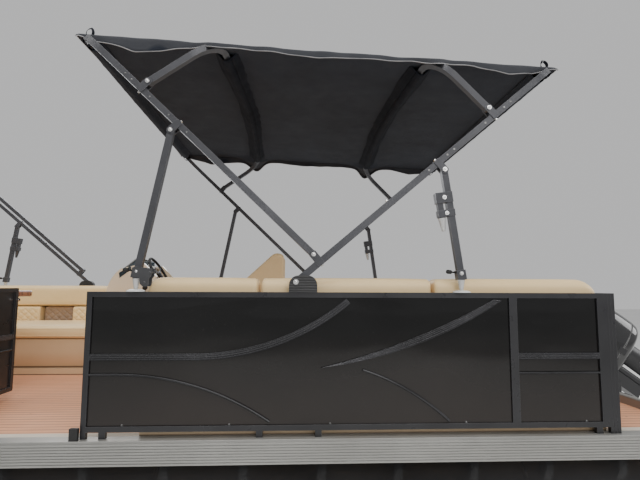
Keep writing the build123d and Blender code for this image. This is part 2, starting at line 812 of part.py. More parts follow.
# The boot wraps the tops of both folded bows.
with BuildPart() as front_boot:
    boot_plane = hoop_plane(along((fx(front_pivot_station), main_start[1]), 180 - main_angle, 0,
                                  hinge_offset / 2),
                            180 - main_angle)
    boot_half = bimini_y - boot_inset
    boot_length = (main_length + second_hinge_along + folded_length) / 2
    with BuildLine(boot_plane):
        hoop_path(boot_half, boot_start, boot_length)
    with BuildSketch(Plane(origin=boot_plane.from_local_coords(Vector(boot_half, boot_start, 0)),
                           x_dir=(0, 1, 0), z_dir=boot_plane.y_dir)):
        RegularPolygon(boot_radius, boot_sides)
    sweep()
    add(front_main_bow.part, mode=Mode.SUBTRACT)
    add(front_second_bow.part, mode=Mode.SUBTRACT)


# Rail mounts: a D-shaped bracket at each pivot and a domed socket under each strut.
def pivot_bracket(x, y):
    with BuildSketch(side_plane(y)) as face:
        with Locations((x, fence_top + bracket_height / 2)):
            outline = Rectangle(bracket_length, bracket_height)
        fillet(outline.vertices().group_by(Axis.Y)[-1], bracket_round)
    extrude(face.sketch, amount=bracket_thickness / 2, both=True)


def strut_socket(x, y):
    with BuildSketch(Plane.XY.offset(fence_top)) as face:
        with Locations((x, y)):
            Circle(dome_radius)
            Rectangle(2 * dome_radius, bracket_thickness, mode=Mode.INTERSECT)
    extrude(face.sketch, amount=dome_height, taper=dome_taper)


aft_bracket_x = main_start[0] + bracket_ahead - bracket_length / 2
main_foot_x = strut_foot(main_strut_hinge, main_strut_angle, main_strut_length)
second_foot_x = strut_foot(second_strut_hinge, second_strut_angle, second_strut_length)
with BuildPart() as rail_mounts:
    for y in both_sides:
        for x in (aft_bracket_x, 2 * front_mirror.origin.X - aft_bracket_x):
            pivot_bracket(x, y)
        for x in (main_foot_x, second_foot_x, 2 * front_mirror.origin.X - main_foot_x):
            strut_socket(x, y)
    add(main_bow.part, mode=Mode.SUBTRACT)
    add(front_main_bow.part, mode=Mode.SUBTRACT)


# Lounges: a moulded base, seat cushions and backrests along the fence.
def low_box(x, y, z, size):
    with Locations((x, y, z)):
        Box(*size, align=(Align.MIN, Align.CENTER, Align.MIN))


def lounge_base(side, aft, forward, depth):
    # A plinth, a groove over it, and a front that bulges out under the seat.
    front = lounge_y - depth
    groove = front + plinth_groove
    top_of_groove = plinth_height + groove_height
    with BuildSketch(Plane(origin=(fx(aft), 0, deck_z), x_dir=(0, side, 0), z_dir=(side, 0, 0))) as face:
        with BuildLine():
            Polyline((groove, top_of_groove), (groove, plinth_height), (front, plinth_height), (front, 0),
                     (lounge_y, 0), (lounge_y, base_top), (front, base_top), (front, base_bulge[2]))
            ThreePointArc((front, base_bulge[2]), (front + base_bulge[1], base_bulge[0]),
                          (groove, top_of_groove))
        make_face()
    extrude(face.sketch, amount=side * (forward - aft))


def seat_cushions(side, spans, base_depth):
    depth = base_depth + seat_overhang - back_thickness - cushion_joint
    for a, b in spans:
        low_box(fx(a) + cushion_joint / 2, side * (lounge_y - back_thickness - cushion_joint - depth / 2),
                deck_z + base_top + soft_gap, (b - a - cushion_joint, depth, seat_thickness))


def back_cushions(side, spans, top):
    for a, b in spans:
        low_box(fx(a) + cushion_joint / 2, side * (lounge_y - back_thickness / 2),
                deck_z + base_top + soft_gap,
                (b - a - cushion_joint, back_thickness, top - base_top - soft_gap))


aft_lounge_spans = ((1, port_spans), (-1, starboard_spans))
bow_lounge_spans = ((1, port_bow_spans), (-1, starboard_bow_spans))
with BuildPart() as aft_lounges:
    for side, spans in aft_lounge_spans:
        lounge_base(side, spans[0][0], spans[-1][1], lounge_depth)
with BuildPart() as aft_seats:
    for side, spans in aft_lounge_spans:
        seat_cushions(side, spans, lounge_depth)
with BuildPart() as aft_backs:
    for side, spans in aft_lounge_spans:
        back_cushions(side, spans, aft_back_top)
with BuildPart() as bow_lounges:
    for side, spans in bow_lounge_spans:
        lounge_base(side, spans[0][0], spans[-1][1], bow_lounge_depth)
with BuildPart() as bow_seats:
    for side, spans in bow_lounge_spans:
        seat_cushions(side, spans, bow_lounge_depth)
with BuildPart() as bow_backs:
    for side, spans in bow_lounge_spans:
        back_cushions(side, spans, bow_back_top)

# Helm console with its steering column, on the starboard side.
console_aft = fx(console_aft_station)
console_front = fx(console_forward_station)
console_y = -(lounge_y + console_inner) / 2
console_width = lounge_y - console_inner
wheel_root = along((console_aft + wheel_socket[0], deck_z + wheel_socket[1]), wheel_angle, wheel_reach)
wheel_axis = Vector(cos(radians(wheel_angle)), 0, sin(radians(wheel_angle)))
rim_plane = Plane(origin=(wheel_root[0], console_y, wheel_root[1]), x_dir=(0, 1, 0), z_dir=wheel_axis)
with BuildPart() as console:
    with BuildSketch(Plane.XZ.offset(console_inner)):
        with BuildLine():
            hump = (console_front - console_hump[0], deck_z + console_hump[1])
            Polyline((console_aft + console_toe, deck_z), (console_front, deck_z),
                     (console_front, deck_z + console_belly))
            ThreePointArc((console_front, deck_z + console_belly),
                          (console_front - console_round[0], deck_z + console_round[1]), hump)
            Polyline(hump, (console_aft + console_crest[0], deck_z + console_crest[1]),
                     (console_aft, deck_z + console_brow),
                     (console_aft + console_toe, deck_z + console_belly),
                     (console_aft + console_toe, deck_z))
        make_face()
    extrude(amount=console_width)
    with BuildSketch(Plane.XZ.offset(console_inner + console_ear)):
        with BuildLine():
            Polyline((console_aft, deck_z + dash_foot[1]),
                     (console_aft + dash_foot[0], deck_z + dash_foot[1]),
                     (console_aft + dash_head[0], deck_z + dash_head[1]),
                     (console_aft, deck_z + dash_head[1]),
                     close=True)
        make_face()
    extrude(amount=console_width - 2 * console_ear, mode=Mode.SUBTRACT)
    with BuildSketch(rim_plane.offset(-wheel_hub_thickness / 2 - running_gap)):
        Circle(column_radius)
    extrude(amount=-column_length)

with BuildPart() as windscreen:
    low = (console_front - screen_foot[0], deck_z + screen_foot[1])
    high = (console_front - screen_head[0], deck_z + screen_head[1])
    lean = degrees(atan2(high[1] - low[1], high[0] - low[0]))
    with BuildSketch(Plane.XZ.offset(console_inner + screen_inset)):
        with BuildLine():
            Polyline(low, high, along(high, lean, 0, screen_thickness), along(low, lean, 0, screen_thickness),
                     close=True)
        make_face()
    extrude(amount=console_width - 2 * screen_inset)
    add(console.part, mode=Mode.SUBTRACT)

with BuildPart() as steering_wheel:
    with BuildSketch(rim_plane.offset(-wheel_hub_thickness / 2)):
        Circle(wheel_hub_radius)
    extrude(amount=wheel_hub_thickness)
    with BuildSketch(rim_plane.offset(-spoke_thickness / 2)):
        with PolarLocations(wheel_radius / 2, 3, start_angle=90):
            Rectangle(wheel_radius, spoke_width)
    extrude(amount=spoke_thickness)
    with BuildSketch(Plane(origin=rim_plane.origin, x_dir=(0, 1, 0),
                           z_dir=wheel_axis.cross(Vector(0, 1, 0)))):
        with Locations((wheel_radius, 0)):
            RegularPolygon(wheel_rim, wheel_rim_sides)
    revolve(axis=Axis(rim_plane.origin, rim_plane.z_dir))

# Helm chair: it turns on its pedestal clear of the fence.
chair_sweep = hypot(chair_front, chair_width / 2)
chair_x = fx(chair_station)
chair_y = chair_wall_gap + chair_sweep - fence_inner_y
swivel_z = deck_z + chair_seat_height
chair_seat_z = swivel_z + chair_base_thickness + soft_gap
with BuildPart() as chair_pedestal:
    with Locations((chair_x, chair_y, deck_z)):
        Cylinder(pedestal_flange_radius, pedestal_flange, align=(Align.CENTER, Align.CENTER, Align.MIN))
        Cylinder(pedestal_radius, chair_seat_height - running_gap,
                 align=(Align.CENTER, Align.CENTER, Align.MIN))
with BuildPart() as chair_base:
    with Locations((chair_x, chair_y, swivel_z)):
        Box(chair_base_width, chair_base_width, chair_base_thickness,
            align=(Align.CENTER, Align.CENTER, Align.MIN))
with BuildPart() as helm_chair:
    low_box(chair_x - chair_rear, chair_y, chair_seat_z,
            (chair_front + chair_rear, chair_width, chair_seat_thickness))
    for outer in (chair_y + chair_width / 2, chair_y - chair_width / 2 + chair_wing_thickness):
        with BuildSketch(Plane.XZ.offset(-outer)):
            with BuildLine():
                Polyline(*[(chair_x + forward, deck_z + height)
                           for forward, height in chair_wing], close=True)
            make_face()
        extrude(amount=chair_wing_thickness)
    with BuildSketch(Plane.XZ.offset(-chair_y - chair_width / 2)):
        with BuildLine():
            lift = chair_seat_z - deck_z - chair_back[0][1]
            foot = [(chair_x + forward, deck_z + height + lift) for forward, height in chair_back[:2]]
            head = [(chair_x + forward, deck_z + height) for forward, height in chair_back[2:]]
            Polyline(*foot, *head, close=True)
        make_face()
    extrude(amount=chair_width)

# Pedestal table between the bow lounges.
with BuildPart() as table_leg:
    with Locations((fx(table_station), table_y, deck_z)):
        Cylinder(table_foot_radius, table_foot, align=(Align.CENTER, Align.CENTER, Align.MIN))
        Cylinder(table_leg_radius, table_leg_height, align=(Align.CENTER, Align.CENTER, Align.MIN))
with BuildPart() as table_top:
    with BuildSketch(Plane.XY.offset(deck_z + table_leg_height)):
        with Locations((fx(table_station), table_y)):
            RectangleRounded(table_length, table_width, table_corner)
    extrude(amount=table_thickness)

# Motor pod: a wedge under the deck that ends in the transom.
transom_x = fx(transom_station)
pod_deck_z = deck_z - rail_height - pod_rail_gap
pod_top_z = channel_z - soft_gap
with BuildPart() as transom_pod:
    with BuildSketch(Plane.XZ.offset(-pod_width / 2)):
        with BuildLine():
            Polyline((transom_x, transom_top), (transom_x + transom_thickness, transom_top),
                     (transom_x + transom_thickness, pod_deck_z), (fx(pod_rail_gap), pod_deck_z),
                     (fx(pod_rail_gap), pod_top_z), (fx(pod_forward_station), pod_top_z),
                     (fx(pod_keel[0]), pod_keel[1]), (transom_x, pod_transom_foot), close=True)
        make_face()
    extrude(amount=pod_width)

# The motor, tilted up. Its clamp stays on the transom, and the rest turns about the tilt pin.
tilt_pin = (transom_x + tilt_pin_place[0], transom_top + tilt_pin_place[1])
leg_up = Vector(sin(radians(tilt_angle)), 0, cos(radians(tilt_angle)))
leg_forward = Vector(cos(radians(tilt_angle)), 0, -sin(radians(tilt_angle)))


def motor_point(f, h):
    return Vector(tilt_pin[0], 0, tilt_pin[1]) + leg_forward * f + leg_up * h


def motor_level(f, h):
    # A plane square to the leg: x runs to starboard and y runs forward.
    return Plane(origin=motor_point(f, h), x_dir=(0, -1, 0), z_dir=leg_up)


def turned_on_shaft(profile):
    # A round part of the propeller shaft, from (f, radius) pairs.
    with BuildSketch(Plane(origin=motor_point(0, shaft_height), x_dir=leg_forward, z_dir=(0, -1, 0))) as half:
        with BuildLine():
            Polyline((profile[0][0], 0), *profile, (profile[-1][0], 0), close=True)
        make_face()
    revolve(half.sketch, axis=Axis(motor_point(0, shaft_height), leg_forward))


def level_loft(sections, outline):
    faces = []
    for f, h, half_width, half_depth in sections:
        right = [(x * half_width, y * half_depth) for x, y in outline]
        left = [(-x, y) for x, y in reversed(right) if x > 0]
        with BuildSketch(motor_level(f, h)) as level:
            with BuildLine():
                Polyline(*right, *left, close=True)
            make_face()
        faces.append(level.sketch.face())
    loft(faces, ruled=True)


with BuildPart() as motor_bracket:
    skin = transom_x - soft_gap
    top = transom_top + soft_gap
    hook = transom_x + transom_thickness + soft_gap
    outline = [(transom_x + x, transom_top + z) for x, z in clamp_outline]
    for y in (-clamp_spacing / 2, clamp_spacing / 2):
        with BuildSketch(side_plane(y)):
            with BuildLine():
                Polyline((skin, clamp_foot), (skin, top), (hook, top), (hook, outline[0][1]), *outline,
                         (transom_x - transom_thickness, clamp_foot), close=True)
            make_face()
        extrude(amount=clamp_plate / 2, both=True)
    with BuildSketch(side_plane(0)):
        with Locations(tilt_pin):
            Circle(tilt_pin_radius)
    extrude(amount=(clamp_spacing + clamp_plate) / 2, both=True)

with BuildPart() as motor_swivel:
    with BuildSketch(motor_level(*swivel_block_place)):
        Rectangle(swivel_block[0], swivel_block[1])
    extrude(amount=swivel_block[2])
    with BuildSketch(side_plane(0)):
        with Locations(tilt_pin):
            Circle(tilt_tube_radius)
    extrude(amount=(clamp_spacing - clamp_plate) / 2 - running_gap, both=True)
    with BuildSketch(motor_level(-steer_back, swivel_bottom)):
        Circle(swivel_radius)
    extrude(amount=swivel_top - swivel_bottom)
    with BuildSketch(side_plane(0)):
        with Locations(tilt_pin):
            Circle(tilt_pin_radius + pin_clearance)
    extrude(amount=clamp_spacing, both=True, mode=Mode.SUBTRACT)

with BuildPart() as motor_leg:
    # Yokes above and below the swivel, the mid section, the splash plate, gear case and skeg.
    with BuildSketch(motor_level(-steer_back, swivel_top + running_gap)):
        Circle(upper_yoke[0])
    extrude(amount=upper_yoke[1])
    with BuildSketch(motor_level(-steer_back, swivel_bottom - running_gap)):
        Circle(lower_yoke[0])
    extrude(amount=-lower_yoke[1])
    level_loft(leg_sections, leg_outline)
    with BuildSketch(motor_level(plate_forward, plate_height)):
        SlotOverall(plate_size[0], plate_size[1], rotation=90)
    extrude(amount=-plate_size[2])
    level_loft(fin_sections, leg_outline)
    level_loft(skeg_sections, leg_outline)
    turned_on_shaft(case_sections)

with BuildPart() as motor_cowl:
    level_loft(cowl_sections, cowl_outline)

with BuildPart() as propeller:
    hub_front = case_sections[-1][0] - prop_gap
    turned_on_shaft([(hub_front, prop_hub[0]), (hub_front - prop_hub[1], prop_hub[0])])
    for i in range(blade_count):
        turn = 2 * pi * i / blade_count
        out = Vector(0, cos(turn), 0) + leg_up * sin(turn)
        pitch = radians(blade_pitch)
        chord_dir = out.cross(leg_forward) * cos(pitch) + leg_forward * sin(pitch)
        with BuildSketch(Plane(origin=motor_point(hub_front - prop_hub[1] / 2, shaft_height),
                               x_dir=out, z_dir=out.cross(chord_dir))) as blade:
            with BuildLine():
                Polyline(*blade_outline, close=True)
            make_face()
        extrude(blade.sketch, amount=blade_thickness / 2, both=True)

pieces = dict(
    port_tube=port_tube, starboard_tube=starboard_tube, cross_channels=cross_channels, deck_board=deck_board,
    side_rails=side_rails, end_rails=end_rails, deck_mat=deck_mat, stern_trim=stern_trim,
    port_aft_frame=port_aft_frame, port_forward_frame=port_forward_frame, starboard_frame=starboard_frame,
    end_frames=end_frames, fence_panels=fence_panels, accent_bars=accent_bars, port_gate=port_gate,
    port_gate_bars=port_gate_bars, bow_gate=bow_gate, bow_gate_bars=bow_gate_bars, stern_gate=stern_gate,
    stern_gate_bars=stern_gate_bars, gate_knuckles=gate_knuckles, gate_stop=gate_stop, main_bow=main_bow,
    second_bow=second_bow, aft_short_bow=aft_short_bow, forward_short_bow=forward_short_bow,
    main_struts=main_struts, second_struts=second_struts, rail_mounts=rail_mounts, canopy=canopy,
    front_main_bow=front_main_bow, front_second_bow=front_second_bow, front_struts=front_struts,
    front_boot=front_boot, aft_lounges=aft_lounges, aft_seats=aft_seats, aft_backs=aft_backs,
    bow_lounges=bow_lounges, bow_seats=bow_seats, bow_backs=bow_backs, console=console, windscreen=windscreen,
    steering_wheel=steering_wheel, chair_pedestal=chair_pedestal, chair_base=chair_base,
    helm_chair=helm_chair,
    table_leg=table_leg, table_top=table_top, transom_pod=transom_pod, motor_bracket=motor_bracket,
    motor_swivel=motor_swivel, motor_leg=motor_leg, motor_cowl=motor_cowl, propeller=propeller)
for label, piece in pieces.items():
    piece.part.label = label
    export_step(piece.part, f"parts/{label}.step")
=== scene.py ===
import bpy
import bmesh
from math import atan2, copysign, cos, dist, exp, hypot, pi, radians, sin, sqrt
import numpy as np
from mathutils import Matrix, Vector


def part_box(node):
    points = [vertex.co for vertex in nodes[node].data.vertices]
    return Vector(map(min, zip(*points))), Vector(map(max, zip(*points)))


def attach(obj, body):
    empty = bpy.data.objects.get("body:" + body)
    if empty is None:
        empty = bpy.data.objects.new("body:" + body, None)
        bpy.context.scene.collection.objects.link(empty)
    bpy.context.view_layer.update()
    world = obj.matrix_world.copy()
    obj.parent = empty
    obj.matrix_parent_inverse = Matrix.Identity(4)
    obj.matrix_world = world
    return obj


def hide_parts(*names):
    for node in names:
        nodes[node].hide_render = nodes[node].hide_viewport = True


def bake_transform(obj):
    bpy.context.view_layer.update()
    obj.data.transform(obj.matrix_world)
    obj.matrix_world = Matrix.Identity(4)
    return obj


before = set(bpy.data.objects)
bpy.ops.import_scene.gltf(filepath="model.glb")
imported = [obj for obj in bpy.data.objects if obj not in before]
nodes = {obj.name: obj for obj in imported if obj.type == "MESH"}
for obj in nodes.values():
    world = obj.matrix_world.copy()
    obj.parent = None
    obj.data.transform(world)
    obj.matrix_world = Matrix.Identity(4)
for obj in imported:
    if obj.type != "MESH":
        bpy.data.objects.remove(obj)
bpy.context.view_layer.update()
print("frame loaded")

# where the boat's main points are, in metres
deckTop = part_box("deck_mat")[1].z
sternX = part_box("deck_board")[0].x
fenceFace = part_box("port_aft_frame")[1].y
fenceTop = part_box("port_aft_frame")[1].z
fenceTube = 0.025
hoopY = fenceFace - fenceTube / 2  # the plane of the bows on each side
hoopTube = 0.032


def stationX(station):
    return station + sternX


aftFenceX, bowFenceX = stationX(0.455), stationX(6.255)


def around(sides):
    # the angles of a full turn, evenly spaced
    return [2 * pi * k / sides for k in range(sides)]


def eased(value, power):
    # a power that keeps the sign: below 1 it squares a round section
    return copysign(abs(value) ** power, value)


def alongMember(start, angle, distance, offset=0.0):
    a = radians(angle)
    return (start[0] + distance * cos(a) - offset * sin(a), start[1] + distance * sin(a) + offset * cos(a))


def smoothStep(low, high, value):
    t = np.clip((value - low) / (high - low), 0, 1)
    return t * t * (3 - 2 * t)


# camera and light
cameraSetup = {"aftEndAhead": 2.0257, "outFromFence": 2.3011, "overMat": 0.6925, "yaw": 2.849,
    "pitch": 5.689, "roll": 0.223, "lens": 26.86}


def makeCamera(setup):
    yaw, pitch, roll = (radians(setup[k]) for k in ("yaw", "pitch", "roll"))
    forward = Vector((-sin(yaw) * cos(pitch), -cos(yaw) * cos(pitch), sin(pitch)))
    right = forward.cross(Vector((0, 0, 1))).normalized()
    up = right.cross(forward)
    leanRight = cos(roll) * right + sin(roll) * up
    leanUp = -sin(roll) * right + cos(roll) * up
    data = bpy.data.cameras.new("dockCamera")
    data.lens, data.sensor_width = setup["lens"], 36.0
    data.clip_start, data.clip_end = 0.02, 200.0
    camera = bpy.data.objects.new("dockCamera", data)
    bpy.context.scene.collection.objects.link(camera)
    place = Vector((sternX + setup["aftEndAhead"], fenceFace + setup["outFromFence"],
        deckTop + setup["overMat"]))
    camera.matrix_world = Matrix(((leanRight.x, leanUp.x, -forward.x, place.x), (leanRight.y, leanUp.y,
        -forward.y, place.y), (leanRight.z, leanUp.z, -forward.z, place.z), (0, 0, 0, 1)))
    bpy.context.scene.camera = camera


# name, place, aim, size, power, colour
lightSetup = {
    "world": ((0.86, 0.86, 0.865), 0.68),
    "areas": [("skyLight", (0.5, 1.5, 9.0), (0.0, 0.0, 0.8), 9.0, 620, (1.0, 0.99, 0.97)),
        ("portLight", (-3.0, 9.0, 5.5), (-0.6, 1.2, 1.2), 6.0, 330, (1.0, 0.98, 0.95)),
        ("starboardLight", (3.0, -9.0, 5.5), (0.0, -1.2, 1.2), 6.0, 260, (0.95, 0.97, 1.0)),
        ("sternLight", (-9.5, 1.0, 4.0), (-3.0, 0.0, 1.0), 4.0, 150, (1.0, 1.0, 1.0))]}


def makeLights(setup):
    world = bpy.data.worlds.new("softStudio")
    bpy.context.scene.world = world
    world.use_nodes = True
    background = world.node_tree.nodes["Background"]
    background.inputs["Color"].default_value = (*setup["world"][0], 1)
    background.inputs["Strength"].default_value = setup["world"][1]
    for name, place, aim, size, power, colour in setup["areas"]:
        data = bpy.data.lights.new(name, "AREA")
        data.shape, data.size, data.energy, data.color = "DISK", size, power, colour
        lamp = bpy.data.objects.new(name, data)
        lamp.location = place
        lamp.rotation_euler = (Vector(aim) - Vector(place)).to_track_quat("-Z", "Y").to_euler()
        bpy.context.scene.collection.objects.link(lamp)


makeCamera(cameraSetup)
makeLights(lightSetup)


# small helpers for node trees
def addNode(tree, kind, inputs=None, **settings):
    made = tree.nodes.new(kind)
    for key, value in settings.items():
        setattr(made, key, value)
    for socket, value in (inputs or {}).items():
        if isinstance(value, bpy.types.NodeSocket):
            tree.links.new(value, made.inputs[socket])
        else:
            made.inputs[socket].default_value = value
    return made


def calc(tree, operation, *values):
    return addNode(tree, "ShaderNodeMath", dict(enumerate(values)), operation=operation).outputs[0]


def times(tree, first, second):
    return calc(tree, "MULTIPLY", first, second)


def apart(tree, first, second):
    # how far two values lie apart
    return calc(tree, "ABSOLUTE", calc(tree, "SUBTRACT", first, second))


def combined(tree, x=0.0, y=0.0, z=0.0):
    return addNode(tree, "ShaderNodeCombineXYZ", {0: x, 1: y, 2: z}).outputs[0]


def noiseOf(tree, point, scale, detail=3.0, roughness=0.55):
    return addNode(tree, "ShaderNodeTexNoise",
        {"Vector": point, "Scale": scale, "Detail": detail, "Roughness": roughness}).outputs[0]


def spread(tree, value, low, high, toLow=0.0, toHigh=1.0):
    return addNode(tree, "ShaderNodeMapRange",
        {"Value": value, "From Min": low, "From Max": high, "To Min": toLow, "To Max": toHigh}).outputs[0]


def mixColour(tree, share, first, second):
    made = tree.nodes.new("ShaderNodeMix")
    made.data_type = "RGBA"
    for socket, value in ((made.inputs[0], share), (made.inputs[6], first), (made.inputs[7], second)):
        if isinstance(value, bpy.types.NodeSocket):
            tree.links.new(value, socket)
        else:
            socket.default_value = (*value, 1) if isinstance(value, tuple) else value
    return made.outputs[2]


def ridges(tree, value, pitch, depth, sharp=1.0):
    # evenly spaced grooves across a coordinate, as a height in metres
    wave = calc(tree, "SINE", times(tree, value, 2 * pi / pitch))
    lifted = calc(tree, "POWER", calc(tree, "MULTIPLY_ADD", wave, 0.5, 0.5), sharp)
    return times(tree, lifted, depth)


def lineMask(tree, value, pitch, width):
    # 1 on thin lines a pitch apart, 0 between them
    share = apart(tree, calc(tree, "FRACT", calc(tree, "DIVIDE", value, pitch)), 0.5)
    return spread(tree, share, 0.5 - width / pitch, 0.5 - width / pitch / 3)


def buildFinish(name, colours, patch=3.0, rough=(0.4, 0.5), grain=(300.0, 0.00004), edge=None, heights=None,
        tint=None, **sockets):
    # colours from a soft noise, a fine grain, painted highlights on the edges, and whatever heights and tint
    # add
    finish = bpy.data.materials.new(name)
    finish.use_nodes = True
    tree = finish.node_tree
    shader = tree.nodes["Principled BSDF"]
    for socket, value in sockets.items():
        shader.inputs[socket.replace("_", " ")].default_value = value
    point = addNode(tree, "ShaderNodeTexCoord").outputs["Object"]
    blotch = noiseOf(tree, point, patch, 4.0)
    colour = mixColour(tree, spread(tree, blotch, 0.35, 0.65), colours[0], colours[1])
    fine = noiseOf(tree, point, grain[0], 2.0)
    height = times(tree, fine, grain[1])
    for extra in (heights(tree, point) if heights else []):
        height = calc(tree, "ADD", height, extra)
    bump = addNode(tree, "ShaderNodeBump", {"Height": height, "Distance": 1.0, "Strength": 1.0})
    if edge:
        width, edgeHighlightColour, edgeShare = edge
        rounded = addNode(tree, "ShaderNodeBevel", {"Radius": width}, samples=4).outputs[0]
        tree.links.new(rounded, bump.inputs["Normal"])
        plain = addNode(tree, "ShaderNodeNewGeometry").outputs["Normal"]
        turned = addNode(tree, "ShaderNodeVectorMath", {0: rounded, 1: plain},
            operation="DOT_PRODUCT").outputs["Value"]
        # painted highlight: where the rounded normal turns away from the face, the colour is mixed in patches
        # towards the edge colour
        paintedEdgeHighlight = times(tree, spread(tree, turned, 0.995, 0.85), spread(tree, blotch, 0.3, 0.7, 0.4, edgeShare))
        colour = mixColour(tree, paintedEdgeHighlight, colour, edgeHighlightColour)
    if tint:
        colour = tint(tree, point, colour)
    tree.links.new(colour, shader.inputs["Base Color"])
    tree.links.new(spread(tree, noiseOf(tree, point, patch * 5, 3.0), 0.3, 0.7, *rough),
        shader.inputs["Roughness"])
    tree.links.new(bump.outputs[0], shader.inputs["Normal"])
    return finish


def axes(tree, point):
    return addNode(tree, "ShaderNodeSeparateXYZ", {0: point}).outputs


def alongAngle(tree, x, z, angle):
    # how far a point of the side plane lies along a direction
    a = radians(angle)
    return calc(tree, "ADD", times(tree, x, cos(a)), times(tree, z, sin(a)))


def acrossAngle(tree, x, z, angle):
    a = radians(angle)
    return calc(tree, "ADD", times(tree, x, -sin(a)), times(tree, z, cos(a)))


def ribbedBow(name, angle, tint=None):
    def ribs(tree, point):
        x, _, z = axes(tree, point)
        return [ridges(tree, acrossAngle(tree, x, z, angle), 0.0052, 0.0006, 1.6)]
    return buildFinish(name, ((0.052, 0.053, 0.06), (0.078, 0.08, 0.09)), 2.0, (0.3, 0.42), (420, 0.00003),
        (0.0022, (0.3, 0.3, 0.32), 0.7), ribs, tint, Metallic=0.35)


# finishes
def postGrooves(tree, point):
    x = axes(tree, point)[0]
    places = [end + way * reach for end, way in ((aftFenceX, 1), (bowFenceX, -1)) for reach in (0.017, 0.034)]
    return [spread(tree, apart(tree, x, place), 0.0, 0.0025, -0.0013, 0.0) for place in places]


def panelTint(tree, point, colour):
    _, _, z = axes(tree, point)
    low = spread(tree, z, deckTop + 0.02, deckTop + 0.5, 0.85, 0.0)
    warm = times(tree, low, spread(tree, noiseOf(tree, point, 1.4), 0.3, 0.7, 0.55, 1.0))
    dust = spread(tree, noiseOf(tree, point, 90.0, 6.0), 0.62, 0.8, 0.0, 0.35)
    return mixColour(tree, dust, mixColour(tree, warm, colour, (0.026, 0.019, 0.016)), (0.05, 0.048, 0.045))


def panelWaves(tree, point):
    x, _, z = axes(tree, point)
    slow = combined(tree, x, 0.0, times(tree, z, 2.4))
    return [times(tree, noiseOf(tree, slow, 1.7, 1.0), 0.0045)]


def railTint(tree, point, colour):
    x, _, z = axes(tree, point)
    streak = combined(tree, times(tree, x, 0.05), 0.0, z)
    brushed = spread(tree, noiseOf(tree, streak, 260.0, 3.0), 0.3, 0.7, 0.0, 0.35)
    return mixColour(tree, brushed, colour, (0.27, 0.27, 0.262))


matSetup = {"plank": 0.048, "line": 0.0045, "borderY": 1.165,
    "wood": ((0.74, 0.345, 0.178), (0.83, 0.42, 0.235)), "gap": (0.24, 0.11, 0.07),
    "border": (0.62, 0.56, 0.47)}


def matTint(tree, point, colour):
    x, y, _ = axes(tree, point)
    plank = calc(tree, "FLOOR", calc(tree, "DIVIDE", y, matSetup["plank"]))
    streakPoint = combined(tree, times(tree, x, 0.6), times(tree, y, 14.0), times(tree, plank, 3.7))
    streak = spread(tree, noiseOf(tree, streakPoint, 5.0, 5.0), 0.3, 0.7, 0.0, 0.55)
    colour = mixColour(tree, streak, colour, (0.5, 0.25, 0.155))
    cell = addNode(tree, "ShaderNodeTexVoronoi", {"Vector": point, "Scale": 11.0}).outputs["Distance"]
    colour = mixColour(tree, spread(tree, cell, 0.075, 0.05, 0.0, 0.6), colour, (0.1, 0.07, 0.055))
    colour = mixColour(tree, lineMask(tree, y, matSetup["plank"], matSetup["line"]), colour, matSetup["gap"])
    side = spread(tree, calc(tree, "ABSOLUTE", y), matSetup["borderY"], matSetup["borderY"] + 0.002)
    return mixColour(tree, side, colour, matSetup["border"])


def matHeights(tree, point):
    _, y, _ = axes(tree, point)
    return [times(tree, lineMask(tree, y, matSetup["plank"], matSetup["line"]), -0.0016)]


def leatherGrain(depth):
    def heights(tree, point):
        cells = addNode(tree, "ShaderNodeTexVoronoi", {"Vector": point, "Scale": 260.0},
            feature="SMOOTH_F1").outputs["Distance"]
        soft = noiseOf(tree, point, 9.0, 2.0)
        return [times(tree, cells, depth), times(tree, soft, 0.0035)]
    return heights


def clothWeave(tree, point):
    x, y, _ = axes(tree, point)
    wrinkle = noiseOf(tree, addNode(tree, "ShaderNodeVectorMath", {0: point, 1: (1.0, 0.35, 1.0)},
        operation="MULTIPLY").outputs[0], 5.5, 4.0)
    return [ridges(tree, x, 0.0022, 0.00022), ridges(tree, y, 0.0022, 0.00022), times(tree, wrinkle, 0.006)]


def hemTint(tree, point, colour):
    # the hanging hem is lit from outside
    _, y, _ = axes(tree, point)
    return mixColour(tree, spread(tree, calc(tree, "ABSOLUTE", y), 1.14, 1.1425, 0.0, 0.75), colour,
        (0.055, 0.057, 0.064))


def plinthPaintedShade(tree, point, colour):
    # painted shade in the groove over the plinth, and painted shade along the foot below it
    _, _, z = axes(tree, point)
    groove = apart(tree, z, deckTop + 0.058)
    colour = mixColour(tree, spread(tree, groove, 0.0085, 0.005), colour, (0.16, 0.1, 0.06))
    # painted shade: the lowest centimetre, where the base meets the deck, is darkened
    foot = spread(tree, z, deckTop + 0.01, deckTop + 0.002)
    return mixColour(tree, foot, colour, (0.1, 0.07, 0.045))


def woodTint(tree, point, colour):
    x, y, z = axes(tree, point)
    stretched = combined(tree, times(tree, x, 1.2), times(tree, y, 15.0), z)
    rings = spread(tree, noiseOf(tree, stretched, 3.0, 6.0), 0.35, 0.65)
    return mixColour(tree, rings, colour, (0.11, 0.025, 0.012))


def mountTint(tree, point, colour):
    x, _, _ = axes(tree, point)
    near = None
    for place in domeStations:
        gap = apart(tree, x, place)
        near = gap if near is None else calc(tree, "MINIMUM", near, gap)
    return mixColour(tree, spread(tree, near, 0.047, 0.045), colour, (0.62, 0.62, 0.6))


def bracketGrooves(tree, point):
    _, _, z = axes(tree, point)
    return [ridges(tree, z, 0.0125, -0.0022, 3.0)]


def floatSeams(tree, point):
    x, _, _ = axes(tree, point)
    bead = times(tree, lineMask(tree, x, 1.83, 0.012), 0.0025)
    return [bead, times(tree, noiseOf(tree, point, 2.2, 1.0), 0.002)]


